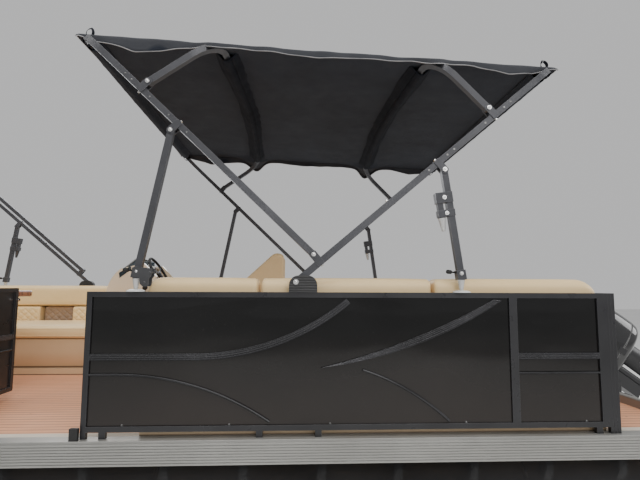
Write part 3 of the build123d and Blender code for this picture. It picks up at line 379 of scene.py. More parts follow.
def footTint(angle, hinge, spare):
    # bare metal on the cone under a strut, and on the tip of its spare leg
    def tint(tree, point, colour):
        x, _, z = axes(tree, point)
        bare = spread(tree, z, 1.5115, 1.5105)
        if spare:
            dx, dz = calc(tree, "SUBTRACT", x, hinge[0]), calc(tree, "SUBTRACT", z, hinge[1])
            down, side = alongAngle(tree, dx, dz, angle), acrossAngle(tree, dx, dz, angle)
            tip = times(tree, spread(tree, down, 0.2385, 0.2395), spread(tree, side, 0.026, 0.027))
            bare = calc(tree, "MAXIMUM", bare, times(tree, tip, spread(tree, down, 0.32, 0.318)))
        return mixColour(tree, bare, colour, (0.6, 0.6, 0.59))
    return tint


# the aft sun top's hinge points, and the front one mirrored from them
mainStart = (-0.675, 1.498)
mainAngle, secondAngle = 139.7, 43.6
aftShortAngle, forwardShortAngle = 45.2, 144.8
mainStrutAngle, secondStrutAngle = 262.1, 281.0
secondAt, strutAt, forwardShortAt, aftShortAt = 0.15, 0.923, 1.177, 1.31  # along the bows
jawOffset = 0.047
mainStrutLength, secondStrutLength, clevisToFoot = 0.521, 0.702, 0.03
secondHinge = alongMember(mainStart, mainAngle, secondAt, -jawOffset)
aftShortHinge = alongMember(mainStart, mainAngle, aftShortAt, -jawOffset)
mainStrutHinge = alongMember(mainStart, mainAngle, strutAt, jawOffset)
forwardShortHinge = alongMember(secondHinge, secondAngle, forwardShortAt, jawOffset)
secondStrutHinge = alongMember(secondHinge, secondAngle, strutAt, -jawOffset)
mirrorX = (mainStart[0] + stationX(4.039)) / 2
mainFoot = alongMember(mainStrutHinge, mainStrutAngle, mainStrutLength + clevisToFoot)
secondFoot = alongMember(secondStrutHinge, secondStrutAngle, secondStrutLength + clevisToFoot)
domeStations = (mainFoot[0], secondFoot[0], 2 * mirrorX - mainFoot[0])

# painted edge highlight for the black finishes: width, colour, share
blackEdgeHighlight = (0.0018, (0.2, 0.2, 0.21), 0.75)
# each finish: what buildFinish takes after the name (its edge entry is a painted edge highlight), and its
# shader sockets
finishSetup = {
    "fenceBlack": (((0.015, 0.015, 0.017), (0.024, 0.024, 0.027)), 2.5, (0.26, 0.38), (500, 0.00004),
        blackEdgeHighlight, postGrooves, {"Specular_IOR_Level": 0.45}),
    "panelGloss": (((0.004, 0.004, 0.0042), (0.008, 0.008, 0.008)), 1.2, (0.03, 0.07), (60, 0.00001), None,
        panelWaves, panelTint, {"Specular_IOR_Level": 0.38}),
    "accentBlack": (((0.018, 0.018, 0.02), (0.032, 0.032, 0.036)), 3.0, (0.22, 0.32), (600, 0.00003),
        (0.0012, (0.34, 0.34, 0.36), 0.9), {"Metallic": 0.5}),
    "rodBlack": (((0.03, 0.03, 0.032), (0.055, 0.055, 0.058)), 3.0, (0.16, 0.24), (600, 0.00002), None,
        {"Metallic": 0.7}),
    "mountBlack": (((0.01, 0.01, 0.011), (0.018, 0.018, 0.019)), 6.0, (0.42, 0.55), (700, 0.00008),
        (0.002, (0.12, 0.12, 0.125), 0.6), bracketGrooves, mountTint, {}),
    "jawGrey": (((0.03, 0.031, 0.034), (0.05, 0.051, 0.055)), 8.0, (0.38, 0.5), (800, 0.00008),
        (0.0015, (0.22, 0.22, 0.23), 0.7), {}),
    "brightBolt": (((0.6, 0.6, 0.6), (0.78, 0.78, 0.77)), 30.0, (0.16, 0.3), (900, 0.00003), None,
        {"Metallic": 1.0}),
    "darkNut": (((0.16, 0.16, 0.16), (0.3, 0.3, 0.3)), 30.0, (0.25, 0.35), (900, 0.00003), None,
        {"Metallic": 0.9}),
    "domeWhite": (((0.55, 0.55, 0.53), (0.68, 0.68, 0.66)), 12.0, (0.3, 0.42), (500, 0.00005), None, {}),
    "railAlloy": (((0.305, 0.302, 0.285), (0.38, 0.377, 0.357)), 1.5, (0.36, 0.5), (240, 0.00005),
        (0.0012, (0.82, 0.82, 0.8), 0.9), None, railTint, {"Metallic": 0.45}),
    "channelAlloy": (((0.42, 0.43, 0.44), (0.55, 0.56, 0.57)), 2.0, (0.35, 0.5), (200, 0.00006), None,
        {"Metallic": 0.8}),
    "floatGloss": (((0.03, 0.03, 0.031), (0.046, 0.046, 0.048)), 1.5, (0.1, 0.18), (260, 0.00003), None,
        floatSeams, {"Coat_Weight": 0.4}),
    "deckMat": (matSetup["wood"], 1.3, (0.62, 0.75), (420, 0.0002), None, matHeights, matTint, {}),
    "edgePly": (((0.2, 0.14, 0.085), (0.3, 0.21, 0.13)), 5.0, (0.7, 0.82), (300, 0.00015), {}),
    "rubberBlack": (((0.01, 0.01, 0.01), (0.018, 0.018, 0.018)), 12.0, (0.6, 0.75), (500, 0.00015), {}),
    "beigeVinyl": (((0.8, 0.585, 0.3), (0.86, 0.65, 0.355)), 1.6, (0.36, 0.48), (520, 0.00006), None,
        leatherGrain(0.00035), {"Sheen_Weight": 0.12}),
    "creamVinyl": (((0.79, 0.61, 0.375), (0.85, 0.68, 0.435)), 1.6, (0.36, 0.48), (520, 0.00006), None,
        leatherGrain(0.00035), {"Sheen_Weight": 0.12}),
    "taupeVinyl": (((0.33, 0.225, 0.15), (0.39, 0.28, 0.195)), 1.6, (0.36, 0.48), (520, 0.00006), None,
        leatherGrain(0.00035), {"Sheen_Weight": 0.12}),
    "mouldedBeige": (((0.6, 0.435, 0.265), (0.66, 0.495, 0.315)), 1.1, (0.34, 0.46), (300, 0.00018), None,
        None, plinthPaintedShade, {}),
    "gelBeige": (((0.78, 0.65, 0.465), (0.84, 0.71, 0.525)), 1.4, (0.12, 0.22), (200, 0.00005),
        (0.01, (0.7, 0.63, 0.53), 0.6), {"Coat_Weight": 0.5}),
    "smokedGlass": (((0.1, 0.14, 0.17), (0.14, 0.18, 0.21)), 3.0, (0.02, 0.05), (60, 0.00001), None,
        {"Transmission_Weight": 0.75, "IOR": 1.49}),
    "chrome": (((0.7, 0.7, 0.7), (0.82, 0.82, 0.81)), 6.0, (0.06, 0.14), (300, 0.00001), None,
        {"Metallic": 1.0}),
    "redWood": (((0.26, 0.075, 0.035), (0.34, 0.1, 0.05)), 2.0, (0.14, 0.24), (200, 0.00003),
        (0.003, (0.45, 0.17, 0.09), 0.7), None, woodTint, {"Coat_Weight": 0.6}),
    "canopyCloth": (((0.0165, 0.02, 0.029), (0.024, 0.029, 0.041)), 2.2, (0.78, 0.9), (900, 0.0001), None,
        clothWeave, hemTint, {"Specular_IOR_Level": 0.22, "Sheen_Weight": 0.03}),
    "sleeveCloth": (((0.0075, 0.009, 0.014), (0.012, 0.014, 0.0205)), 3.0, (0.8, 0.92), (900, 0.0001), None,
        clothWeave, {"Specular_IOR_Level": 0.18}),
    "pipingGrey": (((0.2, 0.2, 0.21), (0.32, 0.32, 0.33)), 9.0, (0.55, 0.7), (900, 0.0002), {}),
    "motorGloss": (((0.007, 0.007, 0.008), (0.012, 0.012, 0.013)), 2.0, (0.08, 0.16), (200, 0.00002), None,
        {"Coat_Weight": 0.7}),
    "legSatin": (((0.016, 0.016, 0.018), (0.026, 0.026, 0.028)), 4.0, (0.28, 0.4), (500, 0.00005),
        (0.002, (0.12, 0.12, 0.13), 0.6), {}),
    "gaugeFace": (((0.01, 0.01, 0.011), (0.02, 0.02, 0.022)), 20.0, (0.2, 0.3), (900, 0.00002), {}),
    "legGrey": (((0.16, 0.16, 0.16), (0.24, 0.24, 0.235)), 4.0, (0.3, 0.42), (500, 0.00004), {})}
finishes = {name: buildFinish(name, *values, **sockets) for name, (*values, sockets) in finishSetup.items()}
for name, angle, tint in (("mainBow", mainAngle, None), ("secondBow", secondAngle, None),
        ("aftShortBow", aftShortAngle, None), ("forwardShortBow", forwardShortAngle, None),
        ("mainStrut", mainStrutAngle, footTint(mainStrutAngle, mainStrutHinge, True)),
        ("secondStrut", secondStrutAngle, footTint(secondStrutAngle, secondStrutHinge, False)),
        ("frontStrut", 180 - mainStrutAngle, footTint(180 - mainStrutAngle,
        (2 * mirrorX - mainStrutHinge[0], mainStrutHinge[1]), False)), ("frontBow", 180 - mainAngle, None)):
    finishes[name] = ribbedBow(name, angle, tint)

# finish: the nodes that wear it
nodeFinishes = {
    "floatGloss": "port_tube starboard_tube transom_pod",
    "channelAlloy": "cross_channels",
    "edgePly": "deck_board",
    "railAlloy": "side_rails end_rails stern_trim",
    "deckMat": "deck_mat",
    "fenceBlack": "port_aft_frame port_forward_frame starboard_frame end_frames port_gate bow_gate "
        "stern_gate gate_knuckles",
    "panelGloss": "fence_panels",
    "accentBlack": "accent_bars port_gate_bars bow_gate_bars stern_gate_bars",
    "rubberBlack": "gate_stop steering_wheel chair_base",
    "mainBow": "main_bow",
    "secondBow": "second_bow",
    "aftShortBow": "aft_short_bow",
    "forwardShortBow": "forward_short_bow",
    "mainStrut": "main_struts",
    "secondStrut": "second_struts",
    "mountBlack": "rail_mounts",
    "canopyCloth": "canopy front_boot",
    "frontBow": "front_main_bow front_second_bow",
    "frontStrut": "front_struts",
    "mouldedBeige": "aft_lounges bow_lounges",
    "beigeVinyl": "aft_seats aft_backs bow_seats bow_backs helm_chair",
    "gelBeige": "console",
    "smokedGlass": "windscreen",
    "chrome": "chair_pedestal table_leg",
    "redWood": "table_top",
    "legSatin": "motor_bracket motor_swivel motor_leg propeller",
    "motorGloss": "motor_cowl"}
for finishName, names in nodeFinishes.items():
    for nodeName in names.split():
        slots = nodes[nodeName].material_slots
        if slots:
            for held in slots:
                held.material = finishes[finishName]
        else:
            nodes[nodeName].data.materials.append(finishes[finishName])
print("finishes made")

# floor
floorSetup = {"size": 60.0, "colours": ((0.74, 0.74, 0.73), (0.79, 0.79, 0.78))}


def makeFloor(setup):
    half = setup["size"] / 2
    mesh = bpy.data.meshes.new("studioFloor")
    mesh.from_pydata([(-half, -half, -0.002), (half, -half, -0.002), (half, half, -0.002),
        (-half, half, -0.002)], [], [(0, 1, 2, 3)])
    floor = bpy.data.objects.new("studioFloor", mesh)
    bpy.context.scene.collection.objects.link(floor)
    mesh.materials.append(buildFinish("paleFloor", setup["colours"], 0.5, (0.75, 0.9), (40, 0.0002)))


makeFloor(floorSetup)


# mesh helpers
def newPiece(name, vertices, faces, finish, body, smooth=True):
    mesh = bpy.data.meshes.new(name)
    mesh.from_pydata([tuple(v) for v in vertices], [], faces)
    mesh.update()
    mesh.materials.append(finishes[finish])
    if smooth:
        mesh.shade_smooth()
    piece = bpy.data.objects.new(name, mesh)
    bpy.context.scene.collection.objects.link(piece)
    if body:
        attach(piece, body)
    return piece


def outward(piece):
    # merges doubles and turns the faces outward
    shape = bmesh.new()
    shape.from_mesh(piece.data)
    bmesh.ops.remove_doubles(shape, verts=shape.verts, dist=1e-6)
    bmesh.ops.recalc_face_normals(shape, faces=shape.faces)
    shape.to_mesh(piece.data)
    shape.free()
    return piece


def newShell(name, shape, finish, body, smooth=True):
    # a closed piece from a (vertices, faces) pair
    return outward(newPiece(name, *shape, finish, body, smooth))


def gridFaces(rows, columns):
    return [(r * columns + c, r * columns + c + 1, (r + 1) * columns + c + 1, (r + 1) * columns + c)
        for r in range(rows - 1) for c in range(columns - 1)]


def joined(parts):
    # several (vertices, faces) lists as one
    vertices, faces = [], []
    for points, loops in parts:
        start = len(vertices)
        vertices += [tuple(p) for p in points]
        faces += [tuple(i + start for i in loop) for loop in loops]
    return vertices, faces


def ringsToShell(rings, closeEnds=True, loop=False):
    # rings of equal length joined into a tube
    count, size = len(rings), len(rings[0])
    vertices = [tuple(p) for ring in rings for p in ring]
    faces = []
    for i in range(count if loop else count - 1):
        a, b = i * size, (i + 1) % count * size
        faces += [(a + j, a + (j + 1) % size, b + (j + 1) % size, b + j) for j in range(size)]
    if closeEnds and not loop:
        faces += [tuple(reversed(range(size))), tuple(range((count - 1) * size, count * size))]
    return vertices, faces


def turned(profile, origin, axis, sides=32):
    # a turned part from (along, radius) pairs about an axis
    axis = Vector(axis).normalized()
    first = axis.orthogonal().normalized()
    second = axis.cross(first)
    rings = []
    for reach, radius in profile:
        rings.append([Vector(origin) + axis * reach + (first * cos(t) + second * sin(t)) * max(radius, 1e-5)
            for t in around(sides)])
    return ringsToShell(rings)


def arcThrough(first, middle, last, count=28):
    # points on the arc through three points of a plane
    ax, ay = first
    bx, by = middle
    cx, cy = last
    d = 2 * (ax * (by - cy) + bx * (cy - ay) + cx * (ay - by))
    ux = ((ax * ax + ay * ay) * (by - cy) + (bx * bx + by * by) * (cy - ay)
        + (cx * cx + cy * cy) * (ay - by)) / d
    uy = ((ax * ax + ay * ay) * (cx - bx) + (bx * bx + by * by) * (ax - cx)
        + (cx * cx + cy * cy) * (bx - ax)) / d
    radius = hypot(ax - ux, ay - uy)
    start, end = atan2(ay - uy, ax - ux), atan2(cy - uy, cx - ux)
    turn = (end - start + pi) % (2 * pi) - pi
    return [(ux + radius * cos(start + turn * k / count), uy + radius * sin(start + turn * k / count))
        for k in range(count + 1)]


# Geometry Nodes: each tree has named inputs, and its result is made a plain mesh
def newTree(name, inputs):
    tree = bpy.data.node_groups.new(name, "GeometryNodeTree")
    tree.interface.new_socket("Geometry", in_out="INPUT", socket_type="NodeSocketGeometry")
    for label, kind, value in inputs:
        socket = tree.interface.new_socket(label, in_out="INPUT", socket_type=kind)
        if value is not None:
            socket.default_value = value
    tree.interface.new_socket("Geometry", in_out="OUTPUT", socket_type="NodeSocketGeometry")
    return tree, tree.nodes.new("NodeGroupInput"), tree.nodes.new("NodeGroupOutput")


def endTree(tree, start, end, geometry):
    solid = addNode(tree, "GeometryNodeRealizeInstances", {"Geometry": geometry})
    painted = addNode(tree, "GeometryNodeSetMaterial",
        {"Geometry": solid.outputs[0], "Material": start.outputs["Finish"]})
    tree.links.new(painted.outputs[0], end.inputs[0])
    return tree


def runTree(name, tree, points, edges, values, body, attributes=None, smooth=True):
    # runs a tree on some points or edges and keeps the result as a plain mesh
    seed = bpy.data.meshes.new(name + "Seed")
    seed.from_pydata([tuple(p) for p in points], edges, [])
    for label, vectors in (attributes or {}).items():
        seed.attributes.new(label, "FLOAT_VECTOR", "POINT").data.foreach_set("vector",
            np.array(vectors, float).ravel())
    holder = bpy.data.objects.new(name + "Seed", seed)
    bpy.context.scene.collection.objects.link(holder)
    modifier = holder.modifiers.new("build", "NODES")
    modifier.node_group = tree
    for item in tree.interface.items_tree:
        if item.in_out == "INPUT" and item.name in values:
            modifier[item.identifier] = values[item.name]
    evaluated = holder.evaluated_get(bpy.context.evaluated_depsgraph_get())
    mesh = bpy.data.meshes.new_from_object(evaluated)
    mesh.name = name
    bpy.data.objects.remove(holder)
    if smooth:
        mesh.shade_smooth()
    piece = bpy.data.objects.new(name, mesh)
    bpy.context.scene.collection.objects.link(piece)
    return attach(piece, body) if body else piece


def makeBoltTree():
    # a washer, a head and a dome on every point, turned to face along its direction
    tree, start, end = newTree("boltTree", [("Washer", "NodeSocketFloat", 0.01),
        ("Head", "NodeSocketFloat", 0.007), ("Height", "NodeSocketFloat", 0.005),
        ("Sides", "NodeSocketInt", 6), ("Finish", "NodeSocketMaterial", None)])
    share = times(tree, start.outputs["Height"], 0.3)
    washer = addNode(tree, "GeometryNodeMeshCylinder",
        {"Vertices": 20, "Radius": start.outputs["Washer"], "Depth": share})
    head = addNode(tree, "GeometryNodeMeshCylinder", {"Vertices": start.outputs["Sides"],
        "Radius": start.outputs["Head"], "Depth": start.outputs["Height"]})
    dome = addNode(tree, "GeometryNodeMeshUVSphere",
        {"Segments": 16, "Rings": 8, "Radius": times(tree, start.outputs["Head"], 0.82)})
    lowered = addNode(tree, "GeometryNodeTransform",
        {"Geometry": washer.outputs[0], "Translation": combined(tree, z=times(tree, share, 0.5))})
    raised = addNode(tree, "GeometryNodeTransform", {"Geometry": head.outputs[0],
        "Translation": combined(tree, z=times(tree, start.outputs["Height"], 0.5))})
    capped = addNode(tree, "GeometryNodeTransform", {"Geometry": dome.outputs[0],
        "Translation": combined(tree, z=start.outputs["Height"]), "Scale": (1.0, 1.0, 0.45)})
    whole = addNode(tree, "GeometryNodeJoinGeometry")
    for part in (lowered, raised, capped):
        tree.links.new(part.outputs[0], whole.inputs[0])
    facing = addNode(tree, "GeometryNodeInputNamedAttribute", {"Name": "facing"},
        data_type="FLOAT_VECTOR").outputs[0]
    turn = addNode(tree, "FunctionNodeAlignRotationToVector", {"Vector": facing}, axis="Z").outputs[0]
    placed = addNode(tree, "GeometryNodeInstanceOnPoints",
        {"Points": start.outputs[0], "Instance": whole.outputs[0], "Rotation": turn})
    return endTree(tree, start, end, placed.outputs[0])


def makeBarTree():
    # a flat bar along a path in an upright plane, with raised lands across its face
    tree, start, end = newTree("barTree", [("Width", "NodeSocketFloat", 0.032), ("Depth", "NodeSocketFloat",
        0.01), ("Relief", "NodeSocketFloat", 0.0012), ("Finish", "NodeSocketMaterial", None)])
    path = addNode(tree, "GeometryNodeMeshToCurve", {"Mesh": start.outputs[0]})
    path = addNode(tree, "GeometryNodeSetCurveNormal", {"Curve": path.outputs[0]}, mode="Z_UP")
    profiles = addNode(tree, "GeometryNodeJoinGeometry")
    width, depth = start.outputs["Width"], start.outputs["Depth"]
    base = addNode(tree, "GeometryNodeCurvePrimitiveQuadrilateral", {"Width": calc(tree, "SUBTRACT", depth,
        start.outputs["Relief"]), "Height": times(tree, width, 0.96)})
    tree.links.new(base.outputs[0], profiles.inputs[0])
    for share, size in ((-0.4, 0.18), (-0.16, 0.22), (0.12, 0.22), (0.38, 0.2)):
        land = addNode(tree, "GeometryNodeCurvePrimitiveQuadrilateral",
            {"Width": depth, "Height": times(tree, width, size)})
        moved = addNode(tree, "GeometryNodeTransform",
            {"Geometry": land.outputs[0], "Translation": combined(tree, y=times(tree, width, share))})
        tree.links.new(moved.outputs[0], profiles.inputs[0])
    bar = addNode(tree, "GeometryNodeCurveToMesh",
        {"Curve": path.outputs[0], "Profile Curve": profiles.outputs[0], "Fill Caps": True})
    return endTree(tree, start, end, bar.outputs[0])


def makeRodTree():
    # a round cord, welt or rod along a path
    tree, start, end = newTree("rodTree", [("Radius", "NodeSocketFloat", 0.006),
        ("Sides", "NodeSocketInt", 12), ("Finish", "NodeSocketMaterial", None)])
    path = addNode(tree, "GeometryNodeMeshToCurve", {"Mesh": start.outputs[0]})
    section = addNode(tree, "GeometryNodeCurvePrimitiveCircle",
        {"Resolution": start.outputs["Sides"], "Radius": start.outputs["Radius"]})
    rod = addNode(tree, "GeometryNodeCurveToMesh",
        {"Curve": path.outputs[0], "Profile Curve": section.outputs[0], "Fill Caps": True})
    return endTree(tree, start, end, rod.outputs[0])


def makeStitchTree():
    # short stitches laid end to end along a seam
    tree, start, end = newTree("stitchTree",
        [("Spacing", "NodeSocketFloat", 0.009), ("Length", "NodeSocketFloat", 0.0055),
        ("Thick", "NodeSocketFloat", 0.0007), ("Finish", "NodeSocketMaterial", None)])
    path = addNode(tree, "GeometryNodeMeshToCurve", {"Mesh": start.outputs[0]})
    dots = addNode(tree, "GeometryNodeCurveToPoints",
        {"Curve": path.outputs[0], "Length": start.outputs["Spacing"]}, mode="LENGTH")
    stitch = addNode(tree, "GeometryNodeMeshCylinder",
        {"Vertices": 5, "Radius": start.outputs["Thick"], "Depth": start.outputs["Length"]})
    turn = addNode(tree, "FunctionNodeAlignRotationToVector", {"Vector": dots.outputs["Tangent"]},
        axis="Z").outputs[0]
    laid = addNode(tree, "GeometryNodeInstanceOnPoints",
        {"Points": dots.outputs["Points"], "Instance": stitch.outputs[0], "Rotation": turn})
    return endTree(tree, start, end, laid.outputs[0])


boltTree, barTree, rodTree, stitchTree = makeBoltTree(), makeBarTree(), makeRodTree(), makeStitchTree()


def pathEdges(paths, loop=False):
    # several polylines as one list of points and edges
    points, edges = [], []
    for path in paths:
        start = len(points)
        points += [tuple(p) for p in path]
        edges += [(start + k, start + k + 1) for k in range(len(path) - 1)]
        if loop:
            edges.append((start + len(path) - 1, start))
    return points, edges


def placeBolts(name, places, body, finish="brightBolt", washer=0.0105, head=0.0075, height=0.0055, sides=6):
    points, facings = [p for p, _ in places], [f for _, f in places]
    return runTree(name, boltTree, points, [], {"Washer": washer, "Head": head, "Height": height,
        "Sides": sides, "Finish": finishes[finish]}, body, {"facing": facings}, smooth=False)


def layRods(name, paths, radius, finish, body, sides=12, loop=False):
    points, edges = pathEdges(paths, loop)
    return runTree(name, rodTree, points, edges,
        {"Radius": radius, "Sides": sides, "Finish": finishes[finish]}, body)


# accents: grooved bars and round rods on the fences and gates
accentSetup = {
    "bar": 0.032, "rod": 0.0062, "depth": 0.0095, "relief": 0.0014, "barHeight": 0.367, "rodHeight": 0.287,
    "wideSweep": ((0.484, 0.0), (0.879, 0.072), (1.25, 0.3)),
        "thinSweep": ((0.128, 0.0), (0.512, -0.062), (0.88, -0.25)),
    "bladeTop": ((1.074, 0.315), (1.52, 0.418), (1.998, 0.66)),
        "bladeLow": ((1.958, 0.66), (1.5, 0.444), (1.074, 0.315)),
    "aftRod": ((1.273, 0.304), (1.478, 0.216), (1.712, 0.04)), "bayLow": 0.055, "bayHigh": 0.645}
shortBay, longBay, fillerBay = (0.543, 0.947), (0.985, 2.978), (3.003, 3.798)
farBay = (5.198, 6.23)
endBay = (0.375, 1.215)


def clipped(path, low, high):
    return [p for p in path if low <= p[1] <= high]


def makeAccents(setup):
    bars, rods, blades = [], [], []

    def onSide(side, line):  # (station, height) pairs against a side fence's outer face
        return [(stationX(s), side * (fenceFace - setup["depth"] / 2 - 0.0002), deckTop + h) for s, h in line]

    def onEnd(x, line):
        return [(x, y, deckTop + h) for y, h in line]

    def level(bay, height):
        return [(bay[0] + 0.0005, height), ((bay[0] + bay[1]) / 2, height), (bay[1] - 0.0005, height)]

    for side in (1, -1):
        for bay in (shortBay, farBay) + ((fillerBay,) if side < 0 else ()):
            bars.append(onSide(side, level(bay, setup["barHeight"])))
            rods.append(onSide(side, level(bay, setup["rodHeight"])))
        gateEnd = longBay[1]

        def swept(points, base, lead=8):
            curve = arcThrough(*[(gateEnd - d, base + r) for d, r in points])
            straight = [(gateEnd - 0.0005 + (curve[0][0] - gateEnd) * k / lead, base) for k in range(lead)]
            return clipped(straight + curve, setup["bayLow"] + 0.001, setup["bayHigh"] - 0.012)
        bars.append(onSide(side, swept(setup["wideSweep"], setup["barHeight"])))
        rods.append(onSide(side, swept(setup["thinSweep"], setup["rodHeight"])))
        rods.append(onSide(side, clipped(arcThrough(*[(gateEnd - d, h) for d, h in setup["aftRod"]]),
            setup["bayLow"] + 0.001, 1.0)))
        blades.append((side, gateEnd))
    fenceX = bowFenceX - setup["depth"] / 2, aftFenceX + setup["depth"] / 2
    for x in fenceX:
        for low, high in ((-endBay[1], -endBay[0]), endBay):
            bars.append(onEnd(x, level((low, high), setup["barHeight"])))
            rods.append(onEnd(x, level((low, high), setup["rodHeight"])))
    values = {"Width": setup["bar"], "Depth": setup["depth"], "Relief": setup["relief"],
        "Finish": finishes["accentBlack"]}
    points, edges = pathEdges(bars)
    barPiece = runTree("accentBarsFence", barTree, points, edges, values, "hull", smooth=False)
    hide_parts("accent_bars")
    layRods("accentRodsFence", rods, setup["rod"], "rodBlack", "hull")
    parts = []
    for side, gateEnd in blades:  # the tapered blade: a bar whose width grows from its point
        top = arcThrough(*[(gateEnd - d, h) for d, h in setup["bladeTop"]], count=40)
        low = list(reversed(arcThrough(*[(gateEnd - d, h) for d, h in setup["bladeLow"]], count=40)))
        faceY, backY = side * (fenceFace - 0.0002), side * (fenceFace - setup["depth"])
        strips = ((0.0, 0.2), (0.24, 0.46), (0.5, 0.72), (0.76, 1.0))
        keep = [k for k in range(len(top)) if min(top[k][1], low[k][1]) < setup["bayHigh"]]
        top, low = [top[k] for k in keep], [low[k] for k in keep]

        def ringsOf(a, b, front):
            rings = []
            for (tx, tz), (lx, lz) in zip(top, low):
                p = [(lx + (tx - lx) * s, min(lz + (tz - lz) * s, setup["bayHigh"])) for s in (a, b)]
                rings.append([(stationX(p[0][0]), backY, deckTop + p[0][1]), (stationX(p[0][0]), front,
                    deckTop + p[0][1]), (stationX(p[1][0]), front, deckTop + p[1][1]),
                    (stationX(p[1][0]), backY, deckTop + p[1][1])])
            return ringsToShell(rings)
        parts.append(ringsOf(0.0, 1.0, faceY - side * setup["relief"]))
        parts += [ringsOf(a, b, faceY) for a, b in strips]
    blade = newShell("accentBlades", joined(parts), "accentBlack", "hull", smooth=False)
    # the gates' own bars, placed by their CAD nodes
    for gate, body in (("port_gate", "port_gate_body"), ("bow_gate", "bow_gate_body"),
            ("stern_gate", "stern_gate_body")):
        low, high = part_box(gate + "_bars")
        face = high.x if gate == "bow_gate" else low.x
        x = face + (-1 if gate == "bow_gate" else 1) * setup["depth"] / 2
        barZ, rodZ = high.z - setup["bar"] / 2, low.z + 0.006
        label = gate.split("_")[0] + "GateAccents"
        ends = low.y + 0.0005, (low.y + high.y) / 2, high.y - 0.0005
        points, edges = pathEdges([[(x, y, barZ) for y in ends]])
        piece = runTree(label, barTree, points, edges, values, body, smooth=False)
        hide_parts(gate + "_bars")
        rod = layRods(label + "Rod", [[(x, y, rodZ) for y in ends]], setup["rod"], "rodBlack", body)


makeAccents(accentSetup)
print("accents made")

# bolts, nuts and domes
boltSetup = {
    "jawFace": hoopY + 0.0246, "clevisFace": hoopY + 0.0212, "bracketFace": hoopY + 0.0222,
    "hinge": {"washer": 0.011, "head": 0.0085, "height": 0.004, "sides": 16},
    "clevis": {"washer": 0.01, "head": 0.0078, "height": 0.004, "sides": 16},
    "bracket": {"washer": 0.013, "head": 0.0095, "height": 0.005, "sides": 16},
    "nut": {"washer": 0.0085, "head": 0.0062, "height": 0.007}}


def bothSides(points, y):
    return [((x, side * y, z), (0, side, 0)) for x, z in points for side in (1, -1)]


def makeBolts(setup):
    def mirrored(points):
        return [(2 * mirrorX - x, z) for x, z in points]
    mainJaws = [secondHinge, mainStrutHinge, aftShortHinge]
    fixedJaws = mainJaws + mirrored([secondHinge, mainStrutHinge])
    mainClevis = alongMember(mainStrutHinge, mainStrutAngle, mainStrutLength)
    secondClevis = alongMember(secondStrutHinge, secondStrutAngle, secondStrutLength)
    spare = [alongMember(mainStrutHinge, mainStrutAngle, d, 0.024) for d in (0.139, 0.218)]
    placeBolts("hingeBoltsFixed", bothSides(fixedJaws, setup["jawFace"]), "hull", **setup["hinge"])
    placeBolts("hingeBoltsSecondBow", bothSides([forwardShortHinge, secondStrutHinge], setup["jawFace"]),
        "second_bow_body", **setup["hinge"])
    placeBolts("clevisBolts", bothSides([mainClevis] + spare + mirrored([mainClevis]), setup["clevisFace"]),
        "hull", **setup["clevis"])
    placeBolts("clevisBoltsSecondStruts", bothSides([secondClevis], setup["clevisFace"]),
        "second_strut_body", **setup["clevis"])
    placeBolts("bracketBolts", bothSides([(mainStart[0], mainStart[1]),
        (2 * mirrorX - mainStart[0], mainStart[1])], setup["bracketFace"]), "hull", **setup["bracket"])
    # nuts on the far face of the tube, opposite each jaw
    def opposite(start, angle, places):
        a = radians(angle)
        found = []
        for distance, lean in places:
            x, z = alongMember(start, angle, distance, -lean * (hoopTube / 2 + 0.0004))
            found += [((x, side * hoopY, z), (lean * sin(a), 0, -lean * cos(a))) for side in (1, -1)]
        return found
    jawNuts = opposite(mainStart, mainAngle, [(secondAt, -1), (strutAt, 1), (aftShortAt, -1), (0.6, 1)])
    mirrorNuts = [((2 * mirrorX - p[0], p[1], p[2]), (-f[0], f[1], f[2]))
        for p, f in opposite(mainStart, mainAngle, [(strutAt, 1), (0.6, 1)])]
    placeBolts("jawNutsMain", jawNuts + mirrorNuts, "hull", **setup["nut"])
    placeBolts("jawNutsSecond", opposite(secondHinge, secondAngle, [(strutAt, -1), (forwardShortAt, 1)]),
        "second_bow_body", **setup["nut"])


def makeFenceNuts():
    low, high = deckTop + 0.042, deckTop + 0.6575
    inside, places = hoopY - fenceTube / 2, []
    for side in (1, -1):
        for station in (0.62, 1.21, 1.86, 2.33, 2.82, 4.15, 4.75, 5.45, 5.95):
            places.append(((stationX(station), side * hoopY, deckTop + 0.0555), (0, 0, 1)))
        for station in (0.7, 1.4, 2.1, 2.8, 4.3, 5.6):
            places.append(((stationX(station), side * (inside - 0.0002), high), (0, -side, 0)))
    for height in (0.09, 0.31, 0.545):  # on the aft and forward corner posts
        for side in (1, -1):
            places.append(((aftFenceX - 0.0002, side * (hoopY - 0.004), deckTop + height), (-1, 0, 0)))
            places.append(((stationX(0.505) + 0.0002, side * hoopY, deckTop + height + 0.06), (1, 0, 0)))
            places.append(((bowFenceX + 0.0002, side * (hoopY - 0.004), deckTop + height), (1, 0, 0)))
    for x, facing in ((aftFenceX + fenceTube, 1), (bowFenceX - fenceTube, -1)):
        for y in (-0.9, -0.6, 0.6, 0.9):
            places.append(((x + facing * 0.0002, y, low), (facing, 0, 0)))
    placeBolts("fenceNuts", places, "hull", "darkNut", washer=0.0075, head=0.0055, height=0.006)


